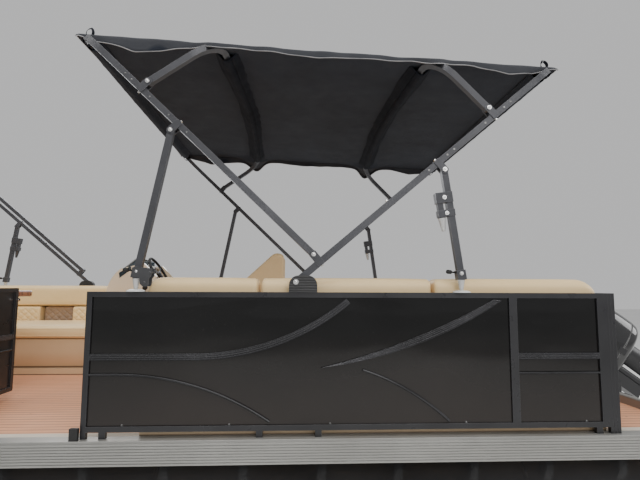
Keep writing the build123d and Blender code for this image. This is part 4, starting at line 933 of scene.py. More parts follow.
def makeDomes():
    parts = []
    for x in domeStations:
        for side in (1, -1):
            parts.append(turned([(0.0, 0.0), (0.0, 0.0445), (0.003, 0.044), (0.0065, 0.039),
                (0.0095, 0.031), (0.0112, 0.024), (0.0113, 0.0)], (x, side * hoopY, fenceTop + 0.0003),
                (0, 0, 1), 40))
    newShell("strutDomes", joined(parts), "domeWhite", "hull")
    knobs = []
    for point, angle in ((mainFoot, mainStrutAngle), (secondFoot, secondStrutAngle),
            ((2 * mirrorX - mainFoot[0], mainFoot[1]), 180 - mainStrutAngle)):
        clevis = alongMember(point, angle, -clevisToFoot)
        for side in (1, -1):
            knobs.append((point is secondFoot,
                turned([(0.0, 0.004), (0.022, 0.004), (0.022, 0.009), (0.04, 0.0105), (0.047, 0.008),
                (0.048, 0.0)], (clevis[0] + 0.022, side * hoopY, clevis[1] + 0.004), (1, 0, 0.1), 16)))
    newShell("clevisKnobs", joined([k for second, k in knobs if not second]), "rubberBlack", "hull")
    newShell("clevisKnobsSecond", joined([k for second, k in knobs if second]), "rubberBlack",
        "second_strut_body")


makeBolts(boltSetup)
makeFenceNuts()
makeDomes()
print("fasteners made")

# bent plates at the second struts' feet: outline beside the pin (x, z), in metres
footPlate = {"outline": ((0.02, 0.018), (0.004, 0.023), (-0.04, 0.018), (-0.072, 0.014), (-0.074, -0.006),
    (-0.069, -0.024), (-0.061, -0.034), (-0.061, -0.058), (-0.054, -0.07), (-0.03, -0.07), (-0.019, -0.058),
    (-0.017, -0.03), (0.02, -0.024)), "gap": 0.0235, "thick": 0.0026}


def makeFootPlates(setup):
    clevis = alongMember(secondFoot, secondStrutAngle, -clevisToFoot)
    parts = []
    for side in (1, -1):
        for away in (1, -1):
            rings = [[(clevis[0] + x * s, side * hoopY + away * (setup["gap"] + out), clevis[1] + z * s)
                for x, z in setup["outline"]]
                for out, s in ((0.0, 1.0), (setup["thick"] - 0.0006, 1.0), (setup["thick"], 0.985))]
            parts.append(ringsToShell(rings))
        for x in (-0.064, -0.04):  # spacers between the plates
            parts.append(turned([(0.0, 0.0), (0.0, 0.0052), (2 * setup["gap"], 0.0052),
                (2 * setup["gap"], 0.0)], (clevis[0] + x, side * hoopY - setup["gap"],
                clevis[1] - 0.004 if x < -0.06 else clevis[1] - 0.05), (0, 1, 0), 16))
    newShell("footPlates", joined(parts), "jawGrey", "hull", smooth=False)
    places = [((clevis[0] + x, side * (hoopY + setup["gap"] + setup["thick"]), clevis[1] + z), (0, side, 0))
        for side in (1, -1) for x, z in ((-0.064, -0.004), (-0.04, -0.052))]
    placeBolts("footPlateBolts", places, "hull", "jawGrey", 0.0065, 0.005, 0.0035)


makeFootPlates(footPlate)


def thickened(piece, thickness):
    # a cloth's two faces, as a plain closed mesh
    modifier = piece.modifiers.new("thick", "SOLIDIFY")
    modifier.thickness, modifier.offset, modifier.use_even_offset = thickness, 0.0, False
    mesh = bpy.data.meshes.new_from_object(piece.evaluated_get(bpy.context.evaluated_depsgraph_get()))
    piece.modifiers.clear()
    mesh.name = piece.name
    piece.data = mesh
    mesh.shade_smooth()
    return piece


def gridSheet(name, table, finish):
    # a sheet from a table of points, rows by columns
    return newPiece(name, [p for row in table for p in row], gridFaces(len(table), len(table[0])), finish,
        None)


# sun top cloth
clothSetup = {"half": 1.138, "rest": 0.0032, "thick": 0.0028, "inner": 0.006, "overhang": 0.019,
    "wrapHalf": 1.07, "wrapRadius": 0.0246, "wrapBack": 0.05, "sleeveHalf": 0.066, "sleeveReach": 1.06,
    "bends": (-0.262, -1.378), "bendOut": 0.135, "bendDrop": 0.066,
    "hemLine": [(-2.09, 0.008), (-2.03, 0.017), (-1.944, 0.044), (-1.812, 0.056), (-1.72, 0.04),
    (-1.624, 0.026), (-1.5, 0.024), (-1.341, 0.03), (-1.285, 0.021), (-1.162, 0.026), (-0.95, 0.031),
    (-0.786, 0.038), (-0.607, 0.03), (-0.333, 0.021), (-0.173, 0.025), (-0.06, 0.045), (0.044, 0.062),
    (0.13, 0.074), (0.176, 0.079), (0.24, 0.06), (0.308, 0.046), (0.383, 0.034), (0.468, 0.01)]}
mainLength, secondLength = 1.83, 1.69
tubeRise = 0.0226
clothSag = 0.66  # the cloth's share of the bows' crown


# the bows' crown: a shallow curve, straight shoulders, then round corners
crownSetup = {"curve": 16, "curveHalf": 0.446, "slope": 0.07, "half": 1.2525, "inset": 0.0125,
    "cornerStart": 1.0985, "corner": 0.17}


def crownDrop(y):
    # how far a bow's crown falls along its legs, y metres from the middle
    y, shape, bend = abs(y), crownSetup, crownSetup["corner"]
    fall = y * y / shape["curve"]
    if y >= shape["curveHalf"]:
        fall = shape["slope"] * y / shape["half"] - shape["inset"]
    corner = max(0.0, y - shape["cornerStart"])
    return fall + (bend - sqrt(max(bend ** 2 - corner ** 2, 0.0)))


mainCrown = alongMember(mainStart, mainAngle, mainLength - crownSetup["inset"])
secondCrown = alongMember(secondHinge, secondAngle, secondLength - crownSetup["inset"])
_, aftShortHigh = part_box("aft_short_bow")
forwardShortLow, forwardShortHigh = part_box("forward_short_bow")
aftShortCrown = (aftShortHigh.x - tubeRise, aftShortHigh.z - tubeRise)
forwardShortCrown = (forwardShortLow.x + 0.0222, forwardShortHigh.z - 0.0223)


def crownPlace(crown, angle, y):
    # x and z of a leaning bow's crown, y metres from the middle
    fall, a = crownDrop(y), radians(angle)
    return crown[0] - fall * cos(a), crown[1] - fall * sin(a)


def ridgeHeight(x):
    # the cloth's straight ridge over the main and second bows
    share = (x - mainCrown[0]) / (secondCrown[0] - mainCrown[0])
    return mainCrown[1] + tubeRise + share * (secondCrown[1] - mainCrown[1])


def hemDepth(x):
    places, depths = zip(*clothSetup["hemLine"])
    return float(np.interp(x, places, depths))


def swell(x):
    # how far the cloth's edge is carried out over the short bows' bends, 0 to 1
    return sum(exp(-((x - place) / 0.085) ** 2) for place in clothSetup["bends"])


def makeCanopy(setup):
    start, end = mainCrown[0] - setup["overhang"] - 0.003, secondCrown[0] + setup["overhang"] + 0.003
    columns, half = 150, setup["half"]
    crossing = [(y, 0.0) for y in np.linspace(0, 0.9, 16)] + [(y, 0.0) for y in np.linspace(0.925, half, 14)]
    crossing += [(half + 0.004, 0.06), (half + 0.0062, 0.16), (half + 0.007, 0.35), (half + 0.007, 0.6),
        (half + 0.0066, 0.8), (half + 0.006, 1.0)]
    crossing = [(-y, drop) for y, drop in reversed(crossing[1:])] + crossing
    table, hems = [], ([], [])
    for c in range(columns + 1):
        x = start + (end - start) * c / columns
        hem = hemDepth(x)
        share = sin(pi * c / columns) ** 0.5
        beyond = max(mainCrown[0] - x, x - secondCrown[0], 0.0)
        row = []
        for y, drop in crossing:
            out = abs(y)
            edge = max(0.0, (out - 0.9) / (half - 0.9))
            z = ridgeHeight(x) + setup["rest"] - crownDrop(min(out, 1.1)) * clothSag
            z -= setup["inner"] * share * cos(out / half * 1.4) + beyond ** 1.5 * 2.2
            z -= drop * hem
            bend = swell(x) * smoothStep(0.0, 1.0, (out - 1.02) / (half - 1.02))
            z -= setup["bendDrop"] * bend
            ripple = sin(x * 23 + 1.3) * 0.5 + sin(x * 41 + out * 9) * 0.3 + sin(x * 11.7 - out * 5) * 0.6
            z += ripple * (0.0012 + 0.0018 * min(edge, 1.0)) * share
            pull = drop * (0.0025 * sin(x * 37) + 0.01 * (hem - 0.02) / 0.06 * sin(x * 15 + 0.6))
            row.append((x, copysign(out - pull + setup["bendOut"] * bend, y) if y else 0.0, z))
        table.append(row)
        for side, hem in ((0, hems[0]), (-1, hems[1])):
            p = row[side]
            hem.append((p[0], p[1] + copysign(0.0012, p[1]), p[2] - 0.0004))
    cloth = thickened(gridSheet("canopyCloth", table, "canopyCloth"), setup["thick"])
    hems[0].reverse()
    ends = []
    for row in (table[0], table[-1]):
        away = -1 if row is table[0] else 1
        ends.append([(p[0] + away * 0.0012, p[1], p[2]) for p in row])
    piping = layRods("canopyPiping", [hems[0], ends[0], hems[1], ends[1]], 0.0026, "pipingGrey", None,
        sides=8)
    stitched = []
    for offset in (0.012, 0.02):
        for side in (-1, 1):
            line = []
            for row in table:
                p = row[6 if side < 0 else len(row) - 7]
                line.append((p[0], p[1] - side * offset, p[2] + 0.0022 + offset * 0.02))
            stitched.append(line)
    points, edges = pathEdges(stitched)
    stitches = runTree("canopyStitches", stitchTree, points, edges,
        {"Spacing": 0.011, "Length": 0.007, "Thick": 0.0006, "Finish": finishes["pipingGrey"]}, None)
    lineStart = (mainCrown[0], 0.0, ridgeHeight(mainCrown[0]))
    lineEnd = (secondCrown[0], 0.0, ridgeHeight(secondCrown[0]))
    for piece in (cloth, piping, stitches):
        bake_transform(piece)
    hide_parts("canopy")


def makeBowSleeves(setup):
    # wraps round the end bows, and slings under the short ones
    def wrap(name, crown, angle, inward, body):
        table = []
        for y in np.linspace(-setup["wrapHalf"], setup["wrapHalf"], 61):
            cx, cz = crownPlace(crown, angle, y)
            row = []
            for k in range(22):
                turn = radians(-12 + 204 * k / 21)
                row.append((cx - inward * setup["wrapRadius"] * sin(turn), y,
                    cz + setup["wrapRadius"] * cos(turn)))
            slope = 0.045
            lip = row[-1]
            top = ridgeHeight(crown[0]) - crownDrop(y) * clothSag - setup["rest"]
            for k in range(1, 13):
                x = lip[0] + inward * setup["wrapBack"] * k / 12
                row.append((x, y,
                    lip[2] + (top + (x - crown[0]) * slope - lip[2]) * smoothStep(0.15, 1.0, k / 12)))
            ruffle = 0.0012 * sin(y * 31) + 0.0009 * sin(y * 53 + 1)
            row = [(px + ruffle * 0.5, py, pz - abs(ruffle)) for px, py, pz in row]
            table.append(row)
        piece = thickened(gridSheet(name, table, "canopyCloth"), 0.0024)
        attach(piece, body)

    wrap("canopyWrapMain", mainCrown, mainAngle, 1, "hull")
    wrap("canopyWrapSecond", secondCrown, secondAngle, -1, "second_bow_body")

    def sling(name, crown, angle, body):
        table = []
        for y in np.linspace(-setup["sleeveReach"], setup["sleeveReach"], 61):
            cx, cz = crownPlace(crown, angle, y)
            row = []
            width = setup["sleeveHalf"] * (1 + 0.06 * sin(y * 7 + 2) + 0.04 * sin(y * 17))
            under, top = tubeRise + setup["rest"], tubeRise + 0.0022
            for k in range(29):
                t = -1 + 2 * k / 28
                if abs(t) > 0.42:
                    px = copysign(setup["wrapRadius"]
                        + (width - setup["wrapRadius"]) * (abs(t) - 0.42) / 0.58, t)
                    blend = smoothStep(0.42, 0.95, abs(t))
                    pz = top * blend + (-0.25 * setup["wrapRadius"]) * (1 - blend)
                    pz = min(pz, top)
                else:
                    turn = t / 0.42 * radians(104)
                    px, pz = under * sin(turn), -under * cos(turn)
                row.append((cx + px, y, cz + pz + 0.045 * px + 0.0008 * sin(y * 43 + t * 3)))
            table.append(row)
        piece = thickened(gridSheet(name, table, "sleeveCloth"), 0.0022)
        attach(piece, body)

    sling("shortSleeveAft", aftShortCrown, aftShortAngle, "aft_short_body")
    sling("shortSleeveForward", forwardShortCrown, forwardShortAngle, "forward_short_body")


makeCanopy(clothSetup)
makeBowSleeves(clothSetup)
print("sun top made")

# straps at the cloth's corners: a band round the tube with a loose, curled tail
strapSetup = {"reach": 1.128, "width": 0.024, "radius": 0.0272, "thick": 0.0018, "tail": 0.055}


def makeCornerStraps(setup):
    bands = {"hull": [], "second_bow_body": []}
    for crown, angle, body, way in ((mainCrown, mainAngle, "hull", -1),
            (secondCrown, secondAngle, "second_bow_body", 1)):
        x, z = crownPlace(crown, angle, setup["reach"])
        for side in (1, -1):
            centre = Vector((x, side * setup["reach"], z))
            rings = []
            for t in around(40):
                out = Vector((cos(t), 0, sin(t)))
                rings.append([centre + out * (setup["radius"] + r) + Vector((0, side * y, 0))
                    for r, y in ((0, -setup["width"] / 2), (setup["thick"], -setup["width"] / 2),
                    (setup["thick"], setup["width"] / 2), (0, setup["width"] / 2))])
            bands[body].append(ringsToShell(rings, loop=True))
            # two short ends that stand up, twisted
            for number, (lean, curl) in enumerate(((60, 5.0), (112, -6.0))):
                t = radians(lean)
                start = centre + Vector((cos(t) * way * -1, 0, sin(t))) * (setup["radius"] + 0.001)
                rows, heading = [], t
                point = Vector(start)
                for k in range(12):
                    ahead = Vector((cos(heading) * -way, 0, sin(heading)))
                    twist = 0.35 * k * (1 if number else -1) * 0.25
                    across = Vector((0, cos(twist), 0)) + ahead.cross(Vector((0, 1, 0))) * sin(twist)
                    flat = ahead.cross(across)
                    w = 0.01 * (1 - 0.03 * k)
                    rows.append([point + across * sx * w + flat * sy * 0.0008
                        for sx, sy in ((-1, -1), (1, -1), (1, 1), (-1, 1))])
                    point = point + ahead * setup["tail"] / 12
                    heading += curl * 0.02 * (1 + 0.1 * k)
                bands[body].append(ringsToShell(rows))
    for body, parts in bands.items():
        name = "cornerStraps" + ("Aft" if body == "hull" else "Forward")
        newShell(name, joined(parts), "sleeveCloth", body, smooth=False)


makeCornerStraps(strapSetup)
print("straps made")


# upholstery: a rounded, crowned block whose sides pull in between its corners
def padShape(low, high, setup):
    # returns a map from the unit cube's surface to the pad's, for its mesh and its seams
    low, high = np.array(low, float), np.array(high, float)
    centre, half = (low + high) / 2, (high - low) / 2
    wanted = np.array([setup["endRadius"], setup["radius"], setup["radius"]])
    radius = np.minimum(wanted, half * 0.9)
    crown, pull, sink = np.array(setup["crown"]), setup["pull"], setup["sink"]

    def shape(unit):
        unit = np.asarray(unit, float).reshape(-1, 3)
        # points spaced evenly along straight parts and round the edges
        inner = half - radius - sink
        flat = np.clip(unit * (half - sink), -inner, inner)
        out = unit * (half - sink) - flat
        share = out / radius
        size = np.linalg.norm(share, axis=1, keepdims=True)
        top = np.minimum(np.max(np.abs(share), axis=1, keepdims=True), 1)
        moved = flat + radius * share / np.maximum(size, 1e-9) * top
        share = unit * 0.999
        for axis in range(3):
            a, b = [k for k in range(3) if k != axis]
            bulge = (1 - share[:, a] ** 2) * (1 - share[:, b] ** 2)
            face = np.sign(unit[:, axis]) * np.clip((np.abs(unit[:, axis]) - 0.55) / 0.45, 0, 1)
            if axis == 2:
                face = np.where(unit[:, 2] < 0, 0, face)
            moved[:, axis] += face * crown[axis] * bulge
        for axis in (0, 1):
            corner = np.abs(share[:, 1 - axis]) ** 2.5 * (1 - np.abs(share[:, 2]) ** 2 * 0.2)
            side = np.clip((np.abs(unit[:, axis]) - 0.4) / 0.6, 0, 1)
            moved[:, axis] -= np.sign(unit[:, axis]) * side * pull * (1 - corner)
        if "relief" in setup:
            moved = setup["relief"](unit, moved)
        limit = half - 0.0003
        return np.clip(moved, -limit, limit) + centre
    return shape


def steps(extent, radius, spacing):
    # unit positions along one side, closer round its two edges
    share = min(0.45, radius / extent)
    edge = [share * k / 4 for k in range(4)]
    count = max(2, int(round((1 - 2 * share) * extent / spacing)))
    middle = [share + (1 - 2 * share) * k / count for k in range(count + 1)]
    return [2 * t - 1 for t in edge + middle + [1 - e for e in reversed(edge)]]


def makePad(name, low, high, setup, finish, body, welts=((), 0.0042), spacing=0.02):
    size = [h - l for l, h in zip(low, high)]
    shape = padShape(low, high, setup)
    radius = min(setup["radius"], *(s * 0.45 for s in size))
    lines = [steps(s, radius, spacing) for s in size]
    parts = []
    for axis in range(3):
        a, b = [k for k in range(3) if k != axis]
        for side in (-1, 1):
            units = []
            for u in lines[a]:
                for v in lines[b]:
                    point = [0.0, 0.0, 0.0]
                    point[axis], point[a], point[b] = side, u, v
                    units.append(point)
            parts.append((shape(units), gridFaces(len(lines[a]), len(lines[b]))))
    piece = newShell(name, joined(parts), finish, body)
    rings = [shape(unitLine) for unitLine in welts[0]]
    welt = layRods(name + "Welt", rings, welts[1], finish, body, sides=8, loop=True) if rings else None
    return piece, welt, shape


def roundLoop(axis, place, count=24):
    # a loop round the pad at one place along an axis, in unit positions
    a, b = [k for k in range(3) if k != axis]
    loop = []
    for (ua, ub), (va, vb) in (((-1, -1), (1, -1)), ((1, -1), (1, 1)), ((1, 1), (-1, 1)),
            ((-1, 1), (-1, -1))):
        for k in range(count):
            point = [0.0, 0.0, 0.0]
            point[axis] = place
            point[a] = ua + (va - ua) * k / count
            point[b] = ub + (vb - ub) * k / count
            loop.append(point)
    return loop


def quilting(axis, side, pitch, depth):
    # diamonds sewn into one face
    a, b = [k for k in range(3) if k != axis]

    def relief(unit, moved):
        p, q = moved[:, a], moved[:, b]
        first = np.abs(((p + q * 1.15) / pitch) % 1 - 0.5) * pitch
        second = np.abs(((p - q * 1.15) / pitch) % 1 - 0.5) * pitch
        near = np.minimum(pitch / 2 - first, pitch / 2 - second)
        groove = np.exp(-(near / (pitch * 0.1)) ** 2)
        face = np.clip((unit[:, axis] * side - 0.8) / 0.2, 0, 1)
        edge = np.clip((0.94 - np.abs(unit[:, b])) / 0.12, 0, 1)
        edge = edge * np.clip((0.97 - np.abs(unit[:, a])) / 0.05, 0, 1)
        moved = moved.copy()
        moved[:, axis] -= side * depth * groove * face * edge
        return moved
    return relief


seatSetup = {"radius": 0.034, "endRadius": 0.018, "crown": (0.004, 0.004, 0.011), "pull": 0.005,
    "sink": 0.003}
backSetup = {"radius": 0.04, "endRadius": 0.016, "crown": (0.003, 0.005, 0.006), "pull": 0.004,
    "sink": 0.0035}
padSetup = {"radius": 0.022, "endRadius": 0.014, "crown": (0.0, 0.006, 0.003), "pull": 0.003, "sink": 0.003}


def spansOf(node):
    # the boxes of a cushion node's separate pieces, from its mesh
    shape = bmesh.new()
    shape.from_mesh(nodes[node].data)
    bmesh.ops.remove_doubles(shape, verts=shape.verts, dist=1e-5)
    left, boxes = set(shape.verts), []
    while left:
        front, seen = [next(iter(left))], set()
        while front:
            vertex = front.pop()
            if vertex in seen:
                continue
            seen.add(vertex)
            front += [e.other_vert(vertex) for e in vertex.link_edges]
        left -= seen
        points = np.array([nodes[node].matrix_world @ v.co for v in seen])
        boxes.append((tuple(points.min(axis=0)), tuple(points.max(axis=0))))
    shape.free()
    return sorted(boxes, key=lambda b: (b[0][1] > 0, b[0][0]))


def overFace(shape, units, rise):
    return shape(units) + (0, 0, rise)


def seamStitches(name, paths, body):
    points, edges = pathEdges(paths)
    return runTree(name, stitchTree, points, edges,
        {"Spacing": 0.01, "Length": 0.006, "Thick": 0.0007, "Finish": finishes["taupeVinyl"]}, body)


def makeSeats():
    for node in ("aft_seats", "bow_seats"):
        stitchPaths = []
        for number, (low, high) in enumerate(spansOf(node)):
            inward = 1 if low[1] < 0 else -1
            name = node.split("_")[0] + "Seat" + str(number + 1)
            piece, welt, shape = makePad(name, low, high, seatSetup, "beigeVinyl", "hull",
                ([roundLoop(2, 0.62), roundLoop(2, -0.55)], 0.0036))
            if number == 0:
                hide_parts(node)
            for u in (-0.9, 0.9):
                stitchPaths.append(overFace(shape, [(u, v, 1.0) for v in np.linspace(-0.9, 0.9, 30)], 0.0004))
            stitchPaths.append(overFace(shape,
                [(u, inward * 0.86, 1.0) for u in np.linspace(-0.9, 0.9, 40)], 0.0004))
        seamStitches(node.split("_")[0] + "SeatStitches", stitchPaths, "hull")


def makeAftBacks():
    stitchPaths = []
    boxes = spansOf("aft_backs")
    for number, (low, high) in enumerate(boxes):
        side = -1 if low[1] < 0 else 1
        name = "aftBack" + str(number + 1)
        setup = dict(backSetup)
        middle = (low[2] + high[2]) / 2
        drop = high[2] - middle

        def relief(unit, moved, side=side, low=low, high=high, drop=drop, first=(low[0] < -2.1),
                last=(side > 0 and high[0] > 0.0)):
            moved = moved.copy()
            groove = np.exp(-((moved[:, 2] - drop * 0.3) / 0.008) ** 2)
            facing = np.clip((-side * unit[:, 1] - 0.75) / 0.25, 0, 1)
            moved[:, 1] += side * groove * facing * 0.01
            if first:  # the aft end slopes down to the rail
                run = np.clip((-(high[0] - low[0]) / 2 + 0.1 - moved[:, 0]) / 0.1, 0, 1)
                moved[:, 2] -= np.where(unit[:, 2] > 0, run ** 2.2 * 0.055, 0)
            if last:  # the forward end is rounded
                run = np.clip((moved[:, 0] - (high[0] - low[0]) / 2 + 0.075) / 0.075, 0, 1)
                moved[:, 2] -= np.where(unit[:, 2] > 0, run ** 2.4 * 0.04, 0)
            return moved
        setup["relief"] = relief
        welts = [roundLoop(1, -side * 0.66)]
        piece, welt, shape = makePad(name, low, high, setup, "beigeVinyl", "hull", (welts, 0.0038),
            0.017)
        if number == 0:
            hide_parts("aft_backs")
        stitchPaths.append(overFace(shape, [(u, -side * 0.42, 1.0) for u in np.linspace(-0.93, 0.93, 60)],
            0.0005))
    seamStitches("aftBackStitches", stitchPaths, "hull")


# bow backs: long bolsters over quilted pads; one pad a side is darker and set back
bowBackSetup = {"bolster": 0.192, "gap": 0.0015, "setBack": 0.06, "pitch": 0.068, "quiltDepth": 0.0075,
    "dark": 0.284, "shift": 0.078, "joint": 2.2}


def makeBowBacks(setup):
    boxes = spansOf("bow_backs")
    stitchPaths, first = [], True
    for side in (-1, 1):
        row = [b for b in boxes if (b[0][1] < 0) == (side < 0)]
        label = "starboard" if side < 0 else "port"
        low, high = row[0][0], row[-1][1]
        split = high[2] - setup["bolster"]
        for number, (start, end) in enumerate(((low[0], setup["joint"] - 0.001),
                (setup["joint"] + 0.001, high[0]))):
            bolster, welt, shape = makePad(label + "Bolster" + str(number + 1), (start, low[1], split),
                (end, high[1], high[2]), dict(backSetup, radius=0.036), "beigeVinyl", "hull",
                ([roundLoop(2, -0.8)], 0.0036), 0.017)
            if first:
                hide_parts("bow_backs")
                first = False
            stitchPaths.append(overFace(shape,
                [(u, -side * 0.5, 1.0) for u in np.linspace(-0.96, 0.96, 90)], 0.0005))
        for number, (low, high) in enumerate(row):
            cuts = [(low[0] - (setup["shift"] if number == 1 else 0), high[0], "beigeVinyl", 0.0)]
            if number == 0:
                end = high[0] - setup["shift"]
                edge = end - setup["dark"]
                cuts = [(low[0], edge, "beigeVinyl", 0.0), (edge, end, "taupeVinyl", setup["setBack"])]
            for k, (start, end, finish, back) in enumerate(cuts):
                inner = (low[1], high[1] - back) if side < 0 else (low[1] + back, high[1])
                thin = dict(padSetup, relief=quilting(1, -side, setup["pitch"], setup["quiltDepth"]))
                pad, _, _ = makePad(label + "Pad" + str(number + 1) + "ab"[k],
                    (start + 0.0008, inner[0], low[2]), (end - 0.0008, inner[1], split - setup["gap"]),
                    thin, finish, "hull", spacing=0.0065)
    seamStitches("bowBackStitches", stitchPaths, "hull")


makeSeats()
makeAftBacks()
makeBowBacks(bowBackSetup)
print("cushions made")


def ellipseRing(centre, first, second, a, b, sides, power=2.0):
    # a rounded section: a superellipse on two directions
    ring = []
    for t in around(sides):
        x, y = eased(cos(t), 2 / power) * a, eased(sin(t), 2 / power) * b
        ring.append(Vector(centre) + Vector(first) * x + Vector(second) * y)
    return ring


def smoothRows(rows, count):
    # sections eased between each other by a spline
    rows = np.array(rows, float)
    found = []
    for i in range(len(rows) - 1):
        p0, p1, p2, p3 = rows[max(i - 1, 0)], rows[i], rows[i + 1], rows[min(i + 2, len(rows) - 1)]
        for k in range(count):
            t = k / count
            found.append(0.5 * (2 * p1 + (p2 - p0) * t + (2 * p0 - 5 * p1 + 4 * p2 - p3) * t * t
                + (3 * p1 - p0 - 3 * p2 + p3) * t ** 3))
    found.append(rows[-1])
    return found


# front sun top's boot: a cinched roll of cloth with lacing and end straps
bootSetup = {"half": 1.2285, "length": 1.805, "foot": 1.432, "corner": 0.17, "radius": 0.0615,
    "offset": 0.0235, "start": (stationX(4.039), 1.498), "laceEvery": 0.155}


def hoopPath(setup):
    half, corner = setup["half"], setup["corner"]
    shoulder = half - corner
    top = setup["length"] - 0.07 * shoulder / half
    path = [(-half, setup["foot"] + (top - corner - setup["foot"]) * k / 14) for k in range(14)]
    path += [(-shoulder - corner * cos(t), top - corner + corner * sin(t))
        for t in np.linspace(0, pi / 2, 22)[:-1]]
    for y in np.linspace(-shoulder, shoulder, 120):
        path.append((y, min(top + 0.07 * (shoulder - abs(y)) / half, setup["length"] - 0.0125 - y * y / 16)))
    path += [(-y, v) for y, v in reversed(path[:35])]
    return path


def makeBoot(setup):
    a = radians(180 - mainAngle)
    along, lift = Vector((cos(a), 0, sin(a))), Vector((-sin(a), 0, cos(a)))
    origin = Vector((setup["start"][0], 0, setup["start"][1])) + lift * setup["offset"]
    points = [origin + along * v + Vector((0, y, 0)) for y, v in hoopPath(setup)]
    travelled, rings, lengths = 0.0, [], []
    for i, point in enumerate(points):
        travelled += (point - points[i - 1]).length if i else 0.0
        lengths.append(travelled)
    total = lengths[-1]
    for i, point in enumerate(points):
        ahead = (points[min(i + 1, len(points) - 1)] - points[max(i - 1, 0)]).normalized()
        outer = ahead.cross(lift).normalized()
        s = lengths[i]
        ring = []
        tie = min(abs((s / setup["laceEvery"]) % 1 - 0.5) * 2, 1.0)
        ends = min(s, total - s)
        for t in around(40):
            size = setup["radius"] * (0.93 + 0.045 * tie ** 0.6)
            crease = 1 + 0.02 * sin(s * 31 + 3 * t) + 0.016 * sin(s * 67 - 2 * t + 1)
            size *= crease + 0.012 * sin(s * 13 + t)
            size *= 0.8 + 0.2 * min(1.0, ends / 0.045)
            size = min(size, setup["radius"] * 1.02)
            flat = 0.9 + 0.05 * sin(s * 5)
            ring.append(point + outer * size * cos(t) + lift * size * flat * sin(t))
        rings.append(ring)
    roll = newShell("frontBoot", ringsToShell(rings), "canopyCloth", "hull")
    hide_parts("front_boot")
    seam = layRods("frontBootSeam",
        [[ring[27] + (ring[27] - p) * 0.006 for ring, p in zip(rings[3:-3], points[3:-3])]], 0.0024,
        "pipingGrey", "hull", sides=8)
    collars = []
    for i in (4, 30, 70, 110, len(rings) - 71, len(rings) - 31, len(rings) - 5):
        ring = rings[i]
        centre = sum(ring, Vector()) / len(ring)
        ahead = (points[i + 1] - points[i - 1]).normalized()
        loops = []
        for shift, grow in ((-0.012, 1.012), (-0.012, 1.03), (0.012, 1.03), (0.012, 1.012)):
            loops.append([centre + (p - centre) * grow + ahead * shift for p in ring])
        collars.append(ringsToShell(loops, closeEnds=False, loop=True))
    straps = newShell("frontBootStraps", joined(collars), "sleeveCloth", "hull")


makeBoot(bootSetup)

# helm
helmSetup = {"consoleAft": stationX(3.221), "consoleFront": stationX(3.64), "y": -0.914, "inner": -0.61,
    "outer": -1.218, "dashFoot": (0.11, 0.6), "dashHead": (0.16, 1.0), "gauges": [(-0.11, 0.845, 0.036),
    (0.0, 0.85, 0.04), (0.11, 0.845, 0.036), (-0.2, 0.8, 0.024), (0.2, 0.8, 0.024)],
    "wheel": (0.133, 0.755), "wheelAngle": 150.0, "reach": 0.09, "rimRadius": 0.175, "rim": 0.0122,
    "screenFoot": (0.13, 0.845), "screenHead": (0.235, 0.938)}


def dashPoint(setup, y, height, out=0.0):
    (fx, fh), (hx, hh) = setup["dashFoot"], setup["dashHead"]
    slope = Vector((hx - fx, 0, hh - fh)).normalized()
    normal = Vector((-slope.z, 0, slope.x))
    x = setup["consoleAft"] + fx + (hx - fx) * (height - fh) / (hh - fh)
    return Vector((x, setup["y"] + y, deckTop + height)) + normal * out, slope, normal


